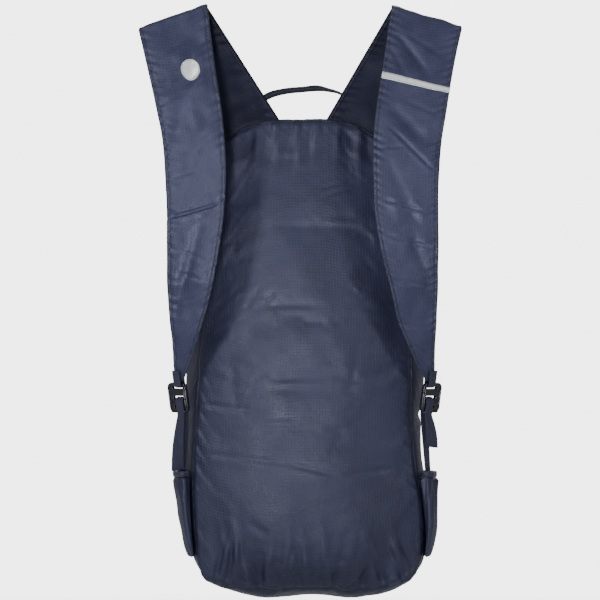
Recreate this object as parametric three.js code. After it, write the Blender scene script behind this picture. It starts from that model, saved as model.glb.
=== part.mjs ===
// A packable daypack of thin ripstop, hanging by its haul loop with both shoulder straps standing up.
// Millimetres, +Z up. X runs across the bag, and +Y from the back panel, which the wearer leans on, to the front.
// The origin is under the middle of the haul loop, where a hook carries the bag.
import * as THREE from "three";

// Bag
const bagHeight = 450; // top seam to the lowest point of the base
const backWidth = 206; // back panel from seam to seam at the waist
const bagDepth = 100; // back seam to front seam at the waist
const clothWall = 1.5; // ripstop with its seam allowance
const seamGap = 0.3; // left open between two pieces that meet
const cornerDrop = 35; // top corners below the middle of the top seam
const cornerLift = 11; // base corners above the middle of the base seam
const baseSag = 5; // base panel below its seam
const frontDrop = 9; // front top seam below the back top seam
const topRise = 3; // top gusset above a straight line between its seams
const creaseDepth = 2.5; // fold across each side gusset at the buckle's height
const creaseUp = 0.395; // height of that fold, as a share of the gusset
const creaseBreadth = 0.014;
const backSteps = { across: 34, up: 22 }; // flat faces across and up the back panel
const frontSteps = { across: 14, up: 16 };

// Zip across the top
const zipWidth = 8;
const zipThickness = 1.9;
const zipReach = 0.9; // share of the half width that the zip crosses
const zipPlace = 0.52; // share of the top gusset's depth
const sliderLength = 13;
const sliderWidth = 8.5;
const sliderHeight = 3.4;

// Side pockets
const pocketBulge = 9; // mouth stands off the gusset by this
const pocketPuff = 14; // cloth pushed past each seam by the things inside
const pocketFoot = 0.055; // heights as shares of the gusset
const pocketMouth = 0.243;
const hemHeight = 6;
const hemThickness = 2.4;

// Shoulder straps
const strapWidth = 68;
const strapThickness = 2.4;
const strapRoot = 20; // inner edge of each strap's root from the middle of the top seam
const foldRise = 95.5; // middle of the fold above the top seam
const foldRadius = 5.8; // bend at the fold, at the middle of the strap's thickness
const strapDrop = 340.5; // middle of the fold to the sewn end
const strapStand = 52; // how far the strap bows out in front of the back seam
const bandWidth = 5.5; // reflective tape across the right strap
const bandThickness = 1;
const bandDown = 0.181; // its place down the strap's front leg, and how much higher its inner end lies
const bandSlant = 0.013;
const dotDiameter = 19; // plain reflective dot on the left strap
const dotDown = 0.147;
const dotAcross = 0.26; // its middle from the strap's, towards the inner edge, in half strap widths

// Ladder lock buckles and the adjusting webbing
const buckleWidth = 23;
const buckleThickness = 4;
const barHeights = [3.2, 4, 5.6, 3.8]; // bars from the strap's end down
const slotHeight = 4;
const slotWidth = 16;
const buckleCorner = 5;
const buckleTurn = 42; // degrees that the buckle's outer edge is turned away from the viewer
const buckleTilt = 14; // degrees that its top leans towards the viewer
const webbingWidth = 12.5;
const bunchedWidth = 9; // webbing where it is drawn together in the buckle
const webbingThickness = 1.2;
const bunchShift = 3.2; // bunched webbing from the middle of the slot towards the bag
const tieLength = 12; // sewn loop that carries the buckle, above its bar
const tailLengths = { left: 52, right: 30 }; // loose ends below the buckles
const tailBend = 1.5; // outward bow of each loose end
const tailDrift = 2.5; // its tip further out than its start
const tailFall = 9; // its tip further back than its start

// Haul loop
const loopRise = 27; // underside of the loop above the top seam
const loopFoot = 51; // each foot of the loop from the middle
const loopWidth = 9;
const loopThickness = 4.8;
const loopSetBack = 7.5; // loop behind the top seam

const halfBack = backWidth / 2;
const topSeam = -loopRise;
const baseSeam = topSeam - bagHeight + baseSag + clothWall;
const buckleLength = barHeights.reduce((sum, bar) => sum + bar, 0) + 3 * slotHeight;

// Bag at ten heights, from the base seam (0) to the top seam (1). Half widths, lean and edge are shares
// of half the back's width; sway, depth, crowns and bulge are shares of the bag's depth.
const sections = [
  { up: 0.0, back: 0.97, front: 0.9, lean: 0.045, sway: 0.06, depth: 0.76, backCrown: 0.03, frontCrown: 0.04, bulge: 0.0 },
  { up: 0.04, back: 1.03, front: 0.95, lean: 0.055, sway: 0.04, depth: 0.86, backCrown: 0.12, frontCrown: 0.12, bulge: 0.03 },
  { up: 0.1, back: 1.05, front: 0.97, lean: 0.055, sway: 0.02, depth: 0.94, backCrown: 0.18, frontCrown: 0.19, bulge: 0.06 },
  { up: 0.2, back: 1.04, front: 0.97, lean: 0.028, sway: 0.0, depth: 0.99, backCrown: 0.22, frontCrown: 0.25, bulge: 0.07 },
  { up: 0.35, back: 1.0, front: 0.95, lean: 0.003, sway: -0.01, depth: 1.0, backCrown: 0.24, frontCrown: 0.28, bulge: 0.09 },
  { up: 0.45, back: 0.98, front: 0.93, lean: 0.015, sway: -0.02, depth: 0.98, backCrown: 0.24, frontCrown: 0.28, bulge: 0.12 },
  { up: 0.6, back: 0.947, front: 0.9, lean: 0.03, sway: -0.02, depth: 0.92, backCrown: 0.22, frontCrown: 0.26, bulge: 0.11 },
  { up: 0.78, back: 0.927, front: 0.86, lean: 0.012, sway: -0.02, depth: 0.78, backCrown: 0.16, frontCrown: 0.2, bulge: 0.08 },
  { up: 0.9, back: 0.895, front: 0.81, lean: 0.0, sway: -0.01, depth: 0.6, backCrown: 0.09, frontCrown: 0.11, bulge: 0.05 },
  { up: 1.0, back: 0.835, front: 0.74, lean: 0.0, sway: 0.0, depth: 0.42, backCrown: 0.01, frontCrown: 0.02, bulge: 0.0 },
];

// Gathers of the back panel, fanning from its base seam (end 0) or its top seam (end 1). Across and drift are in
// half widths, reach is a share of the bag's height, depth one of its depth and breadth one of half the back's width.
const gathers = [
  { end: 0, across: -0.86, reach: 0.12, depth: 0.035, breadth: 0.05, drift: -0.06 },
  { end: 0, across: -0.71, reach: 0.17, depth: 0.03, breadth: 0.045, drift: -0.06 },
  { end: 0, across: -0.55, reach: 0.19, depth: 0.045, breadth: 0.05, drift: -0.13 },
  { end: 0, across: -0.36, reach: 0.14, depth: 0.022, breadth: 0.045, drift: 0.05 },
  { end: 0, across: -0.19, reach: 0.16, depth: 0.026, breadth: 0.05, drift: 0.03 },
  { end: 0, across: -0.02, reach: 0.15, depth: 0.024, breadth: 0.045, drift: -0.04 },
  { end: 0, across: 0.16, reach: 0.17, depth: 0.026, breadth: 0.05, drift: -0.05 },
  { end: 0, across: 0.36, reach: 0.13, depth: 0.02, breadth: 0.05, drift: 0.02 },
  { end: 0, across: 0.62, reach: 0.15, depth: 0.026, breadth: 0.055, drift: -0.16 },
  { end: 0, across: 0.82, reach: 0.18, depth: 0.036, breadth: 0.05, drift: -0.14 },
  { end: 1, across: -0.76, reach: 0.13, depth: 0.022, breadth: 0.06, drift: 0.08 },
  { end: 1, across: -0.5, reach: 0.12, depth: 0.02, breadth: 0.05, drift: 0.05 },
  { end: 1, across: -0.28, reach: 0.1, depth: 0.016, breadth: 0.045, drift: 0.02 },
  { end: 1, across: -0.06, reach: 0.11, depth: 0.018, breadth: 0.04, drift: 0.02 },
  { end: 1, across: 0.14, reach: 0.12, depth: 0.018, breadth: 0.045, drift: -0.02 },
  { end: 1, across: 0.36, reach: 0.1, depth: 0.016, breadth: 0.05, drift: -0.03 },
  { end: 1, across: 0.62, reach: 0.13, depth: 0.022, breadth: 0.06, drift: -0.06 },
];

// Front leg of each strap, from the fold (0) to the sewn end (1). Outer is the outer edge in half back widths,
// wide the width seen from behind in strap widths, tilt the inner edge's rise over the outer one in strap widths,
// stand the distance in front of the back seam in strap stands, and turn how far the outer edge lies behind the
// inner one, in strap widths.
const leftStrap = [
  { down: 0.0, outer: 1.502, wide: 0.957, tilt: 0.32, stand: 0.22, turn: 0.0 },
  { down: 0.06, outer: 1.46, wide: 0.935, tilt: 0.24, stand: 0.36, turn: 0.02 },
  { down: 0.15, outer: 1.4, wide: 0.912, tilt: 0.12, stand: 0.56, turn: 0.07 },
  { down: 0.24, outer: 1.339, wide: 0.897, tilt: 0.03, stand: 0.74, turn: 0.12 },
  { down: 0.34, outer: 1.277, wide: 0.86, tilt: 0.0, stand: 0.89, turn: 0.16 },
  { down: 0.44, outer: 1.25, wide: 0.835, tilt: 0.0, stand: 0.98, turn: 0.19 },
  { down: 0.54, outer: 1.236, wide: 0.79, tilt: 0.0, stand: 1.0, turn: 0.2 },
  { down: 0.64, outer: 1.236, wide: 0.72, tilt: 0.0, stand: 0.97, turn: 0.2 },
  { down: 0.74, outer: 1.231, wide: 0.62, tilt: 0.0, stand: 0.87, turn: 0.2 },
  { down: 0.81, outer: 1.217, wide: 0.506, tilt: 0.0, stand: 0.73, turn: 0.21 },
  { down: 0.87, outer: 1.199, wide: 0.39, tilt: 0.0, stand: 0.57, turn: 0.215 },
  { down: 0.94, outer: 1.18, wide: 0.245, tilt: 0.0, stand: 0.385, turn: 0.185 },
  { down: 1.0, outer: 1.17, wide: 0.118, tilt: 0.0, stand: 0.28, turn: 0.106 },
];
const rightStrap = [
  { down: 0.0, outer: 1.451, wide: 0.975, tilt: 0.29, stand: 0.22, turn: 0.0 },
  { down: 0.06, outer: 1.41, wide: 0.967, tilt: 0.22, stand: 0.36, turn: 0.02 },
  { down: 0.15, outer: 1.357, wide: 0.96, tilt: 0.12, stand: 0.56, turn: 0.05 },
  { down: 0.24, outer: 1.313, wide: 0.973, tilt: 0.03, stand: 0.74, turn: 0.09 },
  { down: 0.34, outer: 1.261, wide: 0.947, tilt: 0.0, stand: 0.89, turn: 0.12 },
  { down: 0.44, outer: 1.234, wide: 0.907, tilt: 0.0, stand: 0.98, turn: 0.15 },
  { down: 0.54, outer: 1.229, wide: 0.874, tilt: 0.0, stand: 1.0, turn: 0.17 },
  { down: 0.64, outer: 1.227, wide: 0.791, tilt: 0.0, stand: 0.97, turn: 0.18 },
  { down: 0.74, outer: 1.227, wide: 0.666, tilt: 0.0, stand: 0.87, turn: 0.19 },
  { down: 0.81, outer: 1.217, wide: 0.568, tilt: 0.0, stand: 0.73, turn: 0.22 },
  { down: 0.87, outer: 1.212, wide: 0.462, tilt: 0.0, stand: 0.57, turn: 0.23 },
  { down: 0.94, outer: 1.201, wide: 0.285, tilt: 0.0, stand: 0.42, turn: 0.2 },
  { down: 1.0, outer: 1.2, wide: 0.118, tilt: 0.0, stand: 0.28, turn: 0.106 },
];

// Webbing from where it is sewn down inside the pocket to the pocket's mouth. Up is a share of the gusset's height;
// back is the distance behind the back seam and out the room left to the gusset, in webbing widths; turn is in
// degrees, 0 with its face to the viewer and 90 with its face to the side.
const webbingRoutes = {
  left: [
    { up: 0.12, back: 0.75, out: 0.12, turn: 90 },
    { up: 0.18, back: 0.36, out: 0.3, turn: 50 },
    { up: 0.243, back: 0.2, out: 0.51, turn: 38 },
  ],
  right: [
    { up: 0.12, back: 0.75, out: 0.12, turn: 90 },
    { up: 0.18, back: 0.6, out: 0.2, turn: 78 },
    { up: 0.243, back: 0.5, out: 0.48, turn: 65 },
  ],
};

// Soft folds across the straps. Down is the place in the table above, slant how much lower the fold runs at the
// inner edge, breadth its half length down the strap, all in shares of the drop, and depth is in strap thicknesses.
const strapFolds = {
  left: [
    { down: 0.35, slant: -0.12, breadth: 0.035, depth: 0.8 },
    { down: 0.55, slant: -0.04, breadth: 0.022, depth: 0.9 },
    { down: 0.77, slant: 0.08, breadth: 0.03, depth: 0.7 },
  ],
  right: [
    { down: 0.41, slant: -0.14, breadth: 0.035, depth: 1.0 },
    { down: 0.55, slant: -0.05, breadth: 0.022, depth: 0.8 },
    { down: 0.9, slant: 0.1, breadth: 0.03, depth: 0.7 },
  ],
};

// Haul loop from its left foot to its right one: across in feet, rise in loop rises above the top seam at the
// middle of its thickness, and thick in loop thicknesses.
const loopRoute = [
  { along: 0.0, across: -1.0, rise: 0.0, thick: 0.8 },
  { along: 0.12, across: -0.86, rise: 0.5, thick: 1.0 },
  { along: 0.25, across: -0.66, rise: 0.84, thick: 1.15 },
  { along: 0.4, across: -0.32, rise: 1.03, thick: 1.05 },
  { along: 0.5, across: 0.0, rise: 1.089, thick: 1.0 },
  { along: 0.58, across: 0.24, rise: 1.13, thick: 1.05 },
  { along: 0.68, across: 0.46, rise: 1.07, thick: 0.72 },
  { along: 0.78, across: 0.7, rise: 0.93, thick: 0.55 },
  { along: 0.88, across: 0.88, rise: 0.55, thick: 0.7 },
  { along: 1.0, across: 0.98, rise: 0.0, thick: 0.8 },
];

// A smooth function through one column of a table.
function smooth(rows, place, key) {
  const at = rows.map((row) => row[place]);
  const value = rows.map((row) => row[key]);
  const chord = (i) => (value[i + 1] - value[i]) / (at[i + 1] - at[i]);
  const slope = value.map((_, i) => {
    if (i === 0) return chord(0);
    if (i === value.length - 1) return chord(i - 1);
    return (chord(i - 1) + chord(i)) / 2;
  });
  return (x) => {
    let i = 0;
    while (i < at.length - 2 && x > at[i + 1]) i += 1;
    const span = at[i + 1] - at[i];
    const s = THREE.MathUtils.clamp((x - at[i]) / span, 0, 1);
    const keep = (1 + 2 * s) * (1 - s) ** 2;
    const leave = s * (1 - s) ** 2 * span;
    const arrive = s * s * (s - 1) * span;
    return keep * value[i] + (1 - keep) * value[i + 1] + leave * slope[i] + arrive * slope[i + 1];
  };
}

const spread = (from, to, steps) => Array.from({ length: steps + 1 }, (_, i) => from + ((to - from) * i) / steps);

// Closer steps near both ends, where the cloth is gathered.
const spreadToEnds = (from, to, steps) =>
  spread(0, 1, steps).map((s) => from + (to - from) * (0.45 * s + 0.55 * (0.5 - 0.5 * Math.cos(Math.PI * s))));

// A thin solid on a surface of two parameters: its near face is the surface, its far face the wall further along
// the normal that points the way of "outward" at the middle.
function clothSheet(surface, acrossSteps, alongSteps, wall, outward, start = 0) {
  const lastAcross = acrossSteps.length - 1;
  const lastAlong = alongSteps.length - 1;
  const normalAt = (u, v) => {
    const du = (acrossSteps[lastAcross] - acrossSteps[0]) / 2000;
    const dv = (alongSteps[lastAlong] - alongSteps[0]) / 2000;
    const hold = THREE.MathUtils.clamp;
    const acrossOf = (x) => hold(x, acrossSteps[0], acrossSteps[lastAcross]);
    const alongOf = (x) => hold(x, alongSteps[0], alongSteps[lastAlong]);
    const across = surface(acrossOf(u + du), v).sub(surface(acrossOf(u - du), v));
    const along = surface(u, alongOf(v + dv)).sub(surface(u, alongOf(v - dv)));
    return across.cross(along).normalize();
  };
  const middle = normalAt(acrossSteps[lastAcross >> 1], alongSteps[lastAlong >> 1]);
  const sign = middle.dot(outward) < 0 ? -1 : 1;
  const positions = [];
  for (const layer of [start, start + wall]) {
    for (const v of alongSteps) {
      for (const u of acrossSteps) {
        positions.push(...surface(u, v).addScaledVector(normalAt(u, v), sign * layer).toArray());
      }
    }
  }
  return closedGrid(positions, lastAcross, lastAlong);
}

// Triangles of a box-like grid of two layers, turned to face out.
function closedGrid(positions, lastAcross, lastAlong) {
  const perRow = lastAcross + 1;
  const perLayer = perRow * (lastAlong + 1);
  const at = (layer, j, i) => layer * perLayer + j * perRow + i;
  const index = [];
  const quad = (a, b, c, d) => index.push(a, b, c, a, c, d);
  for (let j = 0; j < lastAlong; j += 1) {
    for (let i = 0; i < lastAcross; i += 1) {
      quad(at(1, j, i), at(1, j, i + 1), at(1, j + 1, i + 1), at(1, j + 1, i));
      quad(at(0, j, i), at(0, j + 1, i), at(0, j + 1, i + 1), at(0, j, i + 1));
    }
    quad(at(0, j, 0), at(1, j, 0), at(1, j + 1, 0), at(0, j + 1, 0));
    quad(at(0, j, lastAcross), at(0, j + 1, lastAcross), at(1, j + 1, lastAcross), at(1, j, lastAcross));
  }
  for (let i = 0; i < lastAcross; i += 1) {
    quad(at(0, 0, i), at(0, 0, i + 1), at(1, 0, i + 1), at(1, 0, i));
    quad(at(0, lastAlong, i), at(1, lastAlong, i), at(1, lastAlong, i + 1), at(0, lastAlong, i + 1));
  }
  const corner = (k) => new THREE.Vector3().fromArray(positions, 3 * index[k]);
  let volume = 0;
  for (let k = 0; k < index.length; k += 3) {
    volume += corner(k).dot(corner(k + 1).cross(corner(k + 2)));
  }
  if (volume < 0) index.reverse();
  const geometry = new THREE.BufferGeometry();
  geometry.setAttribute("position", new THREE.Float32BufferAttribute(positions, 3));
  geometry.setIndex(index);
  geometry.computeVertexNormals();
  return geometry;
}

const section = Object.fromEntries(
  Object.keys(sections[0]).map((key) => [key, smooth(sections, "up", key)]),
);
const crown = (u) => 1 - Math.abs(u) ** 2.6;
const bow = (w) => Math.sin(Math.PI * w) + 0.22 * Math.sin(2 * Math.PI * w);
const topLine = (u) => topSeam - cornerDrop * Math.abs(u) ** 3.5;
const baseLine = (u) => baseSeam + cornerLift * Math.abs(u) ** 5;

function gatherAt(u, up) {
  let lift = 0;
  for (const { end, across, reach, depth, breadth, drift } of gathers) {
    const away = Math.abs(up - end) / reach;
    if (away >= 1) continue;
    const off = (u - across - drift * away) / breadth;
    lift += depth * Math.sin(Math.PI * Math.sqrt(away)) * Math.exp(-off * off);
  }
  return lift * bagDepth;
}

function backPoint(u, up) {
  const x = (section.lean(up) + u * section.back(up)) * halfBack;
  const y = (section.sway(up) - section.backCrown(up) * crown(u)) * bagDepth - gatherAt(u, up);
  return new THREE.Vector3(x, y, THREE.MathUtils.lerp(baseLine(u), topLine(u), up));
}

function frontPoint(u, up) {
  const x = (section.lean(up) + u * section.front(up)) * halfBack;
  const y = (section.sway(up) + section.depth(up) + section.frontCrown(up) * crown(u)) * bagDepth;
  return new THREE.Vector3(x, y, THREE.MathUtils.lerp(baseLine(u), topLine(u) - frontDrop, up));
}

function gussetPoint(side, up, w) {
  const point = backPoint(side, up).lerp(frontPoint(side, up), w);
  const crease = creaseDepth * Math.exp(-(((up - creaseUp) / creaseBreadth) ** 2));
  point.x += side * (section.bulge(up) * bagDepth - crease) * bow(w);
  return point;
}

function basePoint(u, w) {
  const point = backPoint(u, 0).lerp(frontPoint(u, 0), w);
  point.z -= baseSag * (1 - u ** 4) * (1 - Math.abs(2 * w - 1) ** 3);
  return point;
}

function topPoint(u, w) {
  const point = backPoint(u, 1).lerp(frontPoint(u, 1), w);
  point.z += topRise * (1 - u ** 4) * Math.sin(Math.PI * w);
  return point;
}

// Side pocket: turn runs from 0 at the back seam to 1 at the front seam, and the cloth stands off the gusset.
function pocketPoint(side, up, turn) {
  const angle = Math.PI * turn;
  const full = THREE.MathUtils.clamp((up - pocketFoot) / (pocketMouth - pocketFoot), 0, 1.1);
  const open = full ** 0.45;
  const point = gussetPoint(side, up, (1 - Math.cos(angle)) / 2);
  const off = clothWall + 2 * seamGap + pocketBulge * open * Math.max(Math.sin(angle), 0) ** 0.5;
  point.x += side * off;
  point.y -= pocketPuff * open * 2 * Math.cos(angle) * Math.sin(angle);
  return point;
}

// Straps
const strapTables = { left: leftStrap, right: rightStrap };
const foldHeight = topSeam + foldRise;

function strapFrontEdges(name) {
  const table = strapTables[name];
  const side = name === "left" ? -1 : 1;
  const of = (key) => smooth(table, "down", key);
  const [outer, wide, tilt, stand, turn] = ["outer", "wide", "tilt", "stand", "turn"].map(of);
  return (c, down) => {
    const share = (1 - c) / 2; // 0 at the inner edge, 1 at the outer edge
    const outerX = outer(down) * halfBack;
    const x = outerX - (1 - share) * wide(down) * strapWidth;
    const y = -stand(down) * strapStand + (share - 0.5) * turn(down) * strapWidth;
    const z = foldHeight - down * strapDrop + (0.5 - share) * tilt(down) * strapWidth;
    let dip = 0;
    for (const fold of strapFolds[name]) {
      const off = (down - fold.down - fold.slant * (share - 0.5)) / fold.breadth;
      dip += fold.depth * strapThickness * Math.exp(-off * off);
    }
    return new THREE.Vector3(side * x, y + dip, z);
  };
}

// A whole strap: its place runs from 0 at the root on the top seam, through the fold at 1, to 2 at the fold's
// front and on to 3 at the sewn end. c is -1 at the outer edge and 1 at the inner one.
function strapSurface(name) {
  const side = name === "left" ? -1 : 1;
  const front = strapFrontEdges(name);
  const frontFold = (c) => front(c, 0);
  const rootOuter = strapRoot + 0.94 * strapWidth;
  const topHalf = section.back(1) * halfBack;
  return (c, place) => {
    const share = (1 - c) / 2;
    const folded = frontFold(c);
    const rearY = folded.y + 2 * foldRadius;
    if (place > 2) return front(c, place - 2);
    if (place > 1) {
      const angle = Math.PI * (place - 1);
      const y = rearY - foldRadius * (1 - Math.cos(angle));
      return new THREE.Vector3(folded.x, y, folded.z + foldRadius * Math.sin(angle));
    }
    const rootX = THREE.MathUtils.lerp(strapRoot, rootOuter, share);
    const root = new THREE.Vector3(side * rootX, 0, topLine(rootX / topHalf) + clothWall + 5 * seamGap);
    const top = new THREE.Vector3(folded.x, rearY, folded.z);
    return root.lerp(top, place);
  };
}

// Buckle frame: x across from the outer leg to the inner one, y out of its face, z up.
function buckleFrame(name) {
  const side = name === "left" ? -1 : 1;
  const end = strapSurface(name)(0, 3);
  const turn = THREE.MathUtils.degToRad(buckleTurn);
  const tilt = THREE.MathUtils.degToRad(buckleTilt);
  const across = new THREE.Vector3(-side * Math.cos(turn), -Math.sin(turn), 0);
  const leaning = new THREE.Vector3(0, -Math.sin(tilt), Math.cos(tilt));
  const up = leaning.addScaledVector(across, -leaning.dot(across)).normalize();
  const out = across.clone().cross(up).multiplyScalar(-side);
  const middle = end.clone().addScaledVector(across, -bunchShift);
  middle.addScaledVector(up, -(seamGap + tieGap + buckleLength / 2));
  return { across, out, up, middle, side };
}
const tieGap = 1.5; // sewn end above the buckle's first bar

const inBuckle = ({ across, out, up, middle }, x, y, z) =>
  middle.clone().addScaledVector(across, x).addScaledVector(out, y).addScaledVector(up, z);

function roundedRectangle(path, left, low, right, high, radius) {
  path.moveTo(left + radius, low);
  path.lineTo(right - radius, low);
  path.absarc(right - radius, low + radius, radius, -Math.PI / 2, 0, false);
  path.lineTo(right, high - radius);
  path.absarc(right - radius, high - radius, radius, 0, Math.PI / 2, false);
  path.lineTo(left + radius, high);
  path.absarc(left + radius, high - radius, radius, Math.PI / 2, Math.PI, false);
  path.lineTo(left, low + radius);
  path.absarc(left + radius, low + radius, radius, Math.PI, 1.5 * Math.PI, false);
  return path;
}

// Lower edge of each bar, counted from the buckle's middle.
function barEdges() {
  let z = buckleLength / 2;
  return barHeights.map((bar) => {
    z -= bar;
    const edge = z;
    z -= slotHeight;
    return edge;
  });
}

// A geometry drawn in x and y and extruded along z, set in the buckle's frame along three of its directions.
// Where those three are left-handed, each triangle is turned over so that it still faces out.
function placeInBuckle(geometry, frame, columns) {
  const basis = new THREE.Matrix4().makeBasis(...columns);
  const mirrored = basis.determinant() < 0;
  basis.setPosition(frame.middle);
  const placed = geometry.applyMatrix4(basis);
  if (mirrored) {
    const { array } = placed.getAttribute("position");
    for (let i = 0; i < array.length; i += 9) {
      const second = array.slice(i + 3, i + 6);
      array.copyWithin(i + 3, i + 6, i + 9);
      array.set(second, i + 6);
    }
  }
  placed.computeVertexNormals();
  return placed;
}

function buckleGeometry(frame) {
  const half = buckleWidth / 2;
  const shape = new THREE.Shape();
  roundedRectangle(shape, -half, -buckleLength / 2, half, buckleLength / 2, buckleCorner);
  for (const edge of barEdges().slice(0, 3)) {
    const slot = new THREE.Path();
    roundedRectangle(slot, -slotWidth / 2, edge - slotHeight, slotWidth / 2, edge, 1.2);
    shape.holes.push(slot);
  }
  const bevel = 0.8;
  const geometry = new THREE.ExtrudeGeometry(shape, {
    depth: buckleThickness - 2 * bevel,
    bevelEnabled: true,
    bevelThickness: bevel,
    bevelSize: bevel,
    bevelOffset: -bevel,
    bevelSegments: 1,
    curveSegments: 2,
  });
  geometry.translate(0, 0, -buckleThickness / 2 + bevel);
  return placeInBuckle(geometry, frame, [frame.across, frame.up, frame.out]);
}

// Sewn loop that holds the buckle: a U of webbing round its first bar, with the strap's end between its legs.
function tieGeometry(frame) {
  const inner = buckleThickness / 2 + 2 * seamGap;
  const outer = inner + webbingThickness;
  const bottom = buckleLength / 2 - barHeights[0] - 2 * seamGap + inner;
  const top = buckleLength / 2 + tieLength;
  const shape = new THREE.Shape();
  shape.moveTo(-outer, top);
  shape.lineTo(-outer, bottom);
  shape.absarc(0, bottom, outer, Math.PI, 2 * Math.PI, false);
  shape.lineTo(outer, top);
  shape.lineTo(inner, top);
  shape.lineTo(inner, bottom);
  shape.absarc(0, bottom, inner, 2 * Math.PI, Math.PI, true);
  shape.lineTo(-inner, top);
  const geometry = new THREE.ExtrudeGeometry(shape, { depth: bunchedWidth, bevelEnabled: false, curveSegments: 8 });
  geometry.translate(0, 0, bunchShift - bunchedWidth / 2);
  return placeInBuckle(geometry, frame, [frame.out, frame.up, frame.across]);
}

// Adjusting webbing: up from the pocket behind the buckle, over its third bar and down again as a loose end.
function webbingGeometry(name, frame) {
  const reach = buckleThickness / 2 + 2 * seamGap + webbingThickness / 2;
  const turnTop = barEdges()[1] - slotHeight + seamGap - buckleThickness / 2;
  const exit = -buckleLength / 2 - 2;
  const { side } = frame;
  const path = [];
  const add = (point, facing, width) => path.push({ point, facing, width });
  for (const { up, back, out, turn } of webbingRoutes[name]) {
    const share = Math.max(0, (back * webbingWidth) / (section.depth(up) * bagDepth));
    const point = gussetPoint(side, up, share);
    point.x += side * (clothWall + seamGap + webbingThickness / 2 + out * webbingWidth);
    point.y = section.sway(up) * bagDepth + back * webbingWidth;
    const angle = THREE.MathUtils.degToRad(turn);
    add(point, new THREE.Vector3(-side * Math.cos(angle), -Math.sin(angle), 0), webbingWidth * 0.8);
  }
  const entry = path.at(-1);
  const leave = inBuckle(frame, bunchShift, -reach, exit);
  const swing = (share) => entry.facing.clone().lerp(frame.across, share).normalize();
  for (const share of [0.2, 0.4, 0.6, 0.8]) {
    const point = entry.point.clone().lerp(leave, share);
    add(point, swing(share), THREE.MathUtils.lerp(webbingWidth, bunchedWidth, share));
  }
  add(leave, frame.across, bunchedWidth);
  for (const angle of spread(0, Math.PI, 6)) {
    const y = -reach * Math.cos(angle);
    const z = turnTop + reach * Math.sin(angle);
    add(inBuckle(frame, bunchShift, y, z), frame.across, bunchedWidth);
  }
  const tailStart = inBuckle(frame, bunchShift, reach, exit);
  add(tailStart, frame.across, bunchedWidth);
  const outwards = new THREE.Vector3(side * 0.9, 0.25, 0).normalize();
  for (const share of [0.25, 0.5, 0.75, 1]) {
    const point = tailStart.clone().addScaledVector(outwards, tailBend * Math.sin(Math.PI * share * 0.9));
    point.x += side * tailDrift * share;
    point.y += tailFall * share * share;
    point.z -= tailLengths[name] * share;
    const facing = frame.across.clone().applyAxisAngle(frame.up, side * -0.5 * Math.PI * share * 0.55);
    add(point, facing, THREE.MathUtils.lerp(bunchedWidth, webbingWidth, share));
  }
  const steps = path.map((_, i) => i);
  const surface = (c, place) => {
    const i = Math.min(Math.floor(place), path.length - 2);
    const share = place - i;
    const from = path[i];
    const to = path[i + 1];
    const facing = from.facing.clone().lerp(to.facing, share).normalize();
    const width = THREE.MathUtils.lerp(from.width, to.width, share);
    return from.point.clone().lerp(to.point, share).addScaledVector(facing, (c * width) / 2);
  };
  return ribbon(surface, [-1, 1], steps, webbingThickness);
}

// A ribbon centred on a surface.
function ribbon(surface, acrossSteps, alongSteps, thickness) {
  const outward = new THREE.Vector3(0, -1, 0);
  return clothSheet(surface, acrossSteps, alongSteps, thickness, outward, -thickness / 2);
}

function loopGeometry() {
  const of = (key) => smooth(loopRoute, "along", key);
  const [across, rise, thick] = ["across", "rise", "thick"].map(of);
  const footX = (place) => across(place) * loopFoot;
  const topHalf = section.back(1) * halfBack;
  const share = loopSetBack / (section.depth(1) * bagDepth);
  const middleOf = (place) => {
    const ground = topPoint(footX(place) / topHalf, share).z + clothWall + 3 * seamGap;
    const lift = rise(place) * loopRise;
    const landed = THREE.MathUtils.lerp(ground, topSeam, Math.min(1, lift / loopRise));
    return new THREE.Vector3(footX(place), loopSetBack, landed + lift);
  };
  const steps = spread(0, 1, 24);
  const positions = [];
  for (const layer of [-0.5, 0.5]) {
    for (const place of steps) {
      const ahead = middleOf(Math.min(1, place + 0.001)).sub(middleOf(Math.max(0, place - 0.001)));
      const ends = place === 0 || place === 1;
      const normal = ends ? new THREE.Vector3(place === 0 ? -1 : 1, 0, 0) : new THREE.Vector3(-ahead.z, 0, ahead.x);
      normal.normalize().multiplyScalar(layer * thick(place) * loopThickness);
      const level = place === 0.5 ? new THREE.Vector3(0, 0, layer * loopThickness) : normal;
      for (const y of [-0.5, -0.3, 0.3, 0.5]) {
        const rounded = Math.abs(y) === 0.5 ? 0.55 : 1;
        const point = middleOf(place).addScaledVector(level, rounded);
        positions.push(point.x, point.y + y * loopWidth, point.z);
      }
    }
  }
  return closedGrid(positions, 3, steps.length - 1);
}

// The pieces are laid out from the back seam, and the whole is moved so that the loop hangs over the origin.
const group = new THREE.Group();
group.position.y = -loopSetBack;
function add(name, geometry, material) {
  const mesh = new THREE.Mesh(geometry, material);
  mesh.name = name;
  group.add(mesh);
}

const ripstop = () => new THREE.MeshStandardMaterial({ color: 0x343a55, roughness: 0.55, metalness: 0 });
const strapCloth = () => new THREE.MeshStandardMaterial({ color: 0x3a405e, roughness: 0.55, metalness: 0 });
const webbingCloth = () => new THREE.MeshStandardMaterial({ color: 0x2c3048, roughness: 0.7, metalness: 0 });
const plastic = () => new THREE.MeshStandardMaterial({ color: 0x14161f, roughness: 0.3, metalness: 0 });
const reflective = () => new THREE.MeshStandardMaterial({ color: 0xd9dde2, roughness: 0.35, metalness: 0.2 });

const behind = new THREE.Vector3(0, -1, 0);
const ahead = new THREE.Vector3(0, 1, 0);
const above = new THREE.Vector3(0, 0, 1);
const below = new THREE.Vector3(0, 0, -1);
const acrossTrim = seamGap / halfBack;
const alongTrim = seamGap / bagHeight;
const depthTrim = seamGap / (section.depth(1) * bagDepth);

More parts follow.
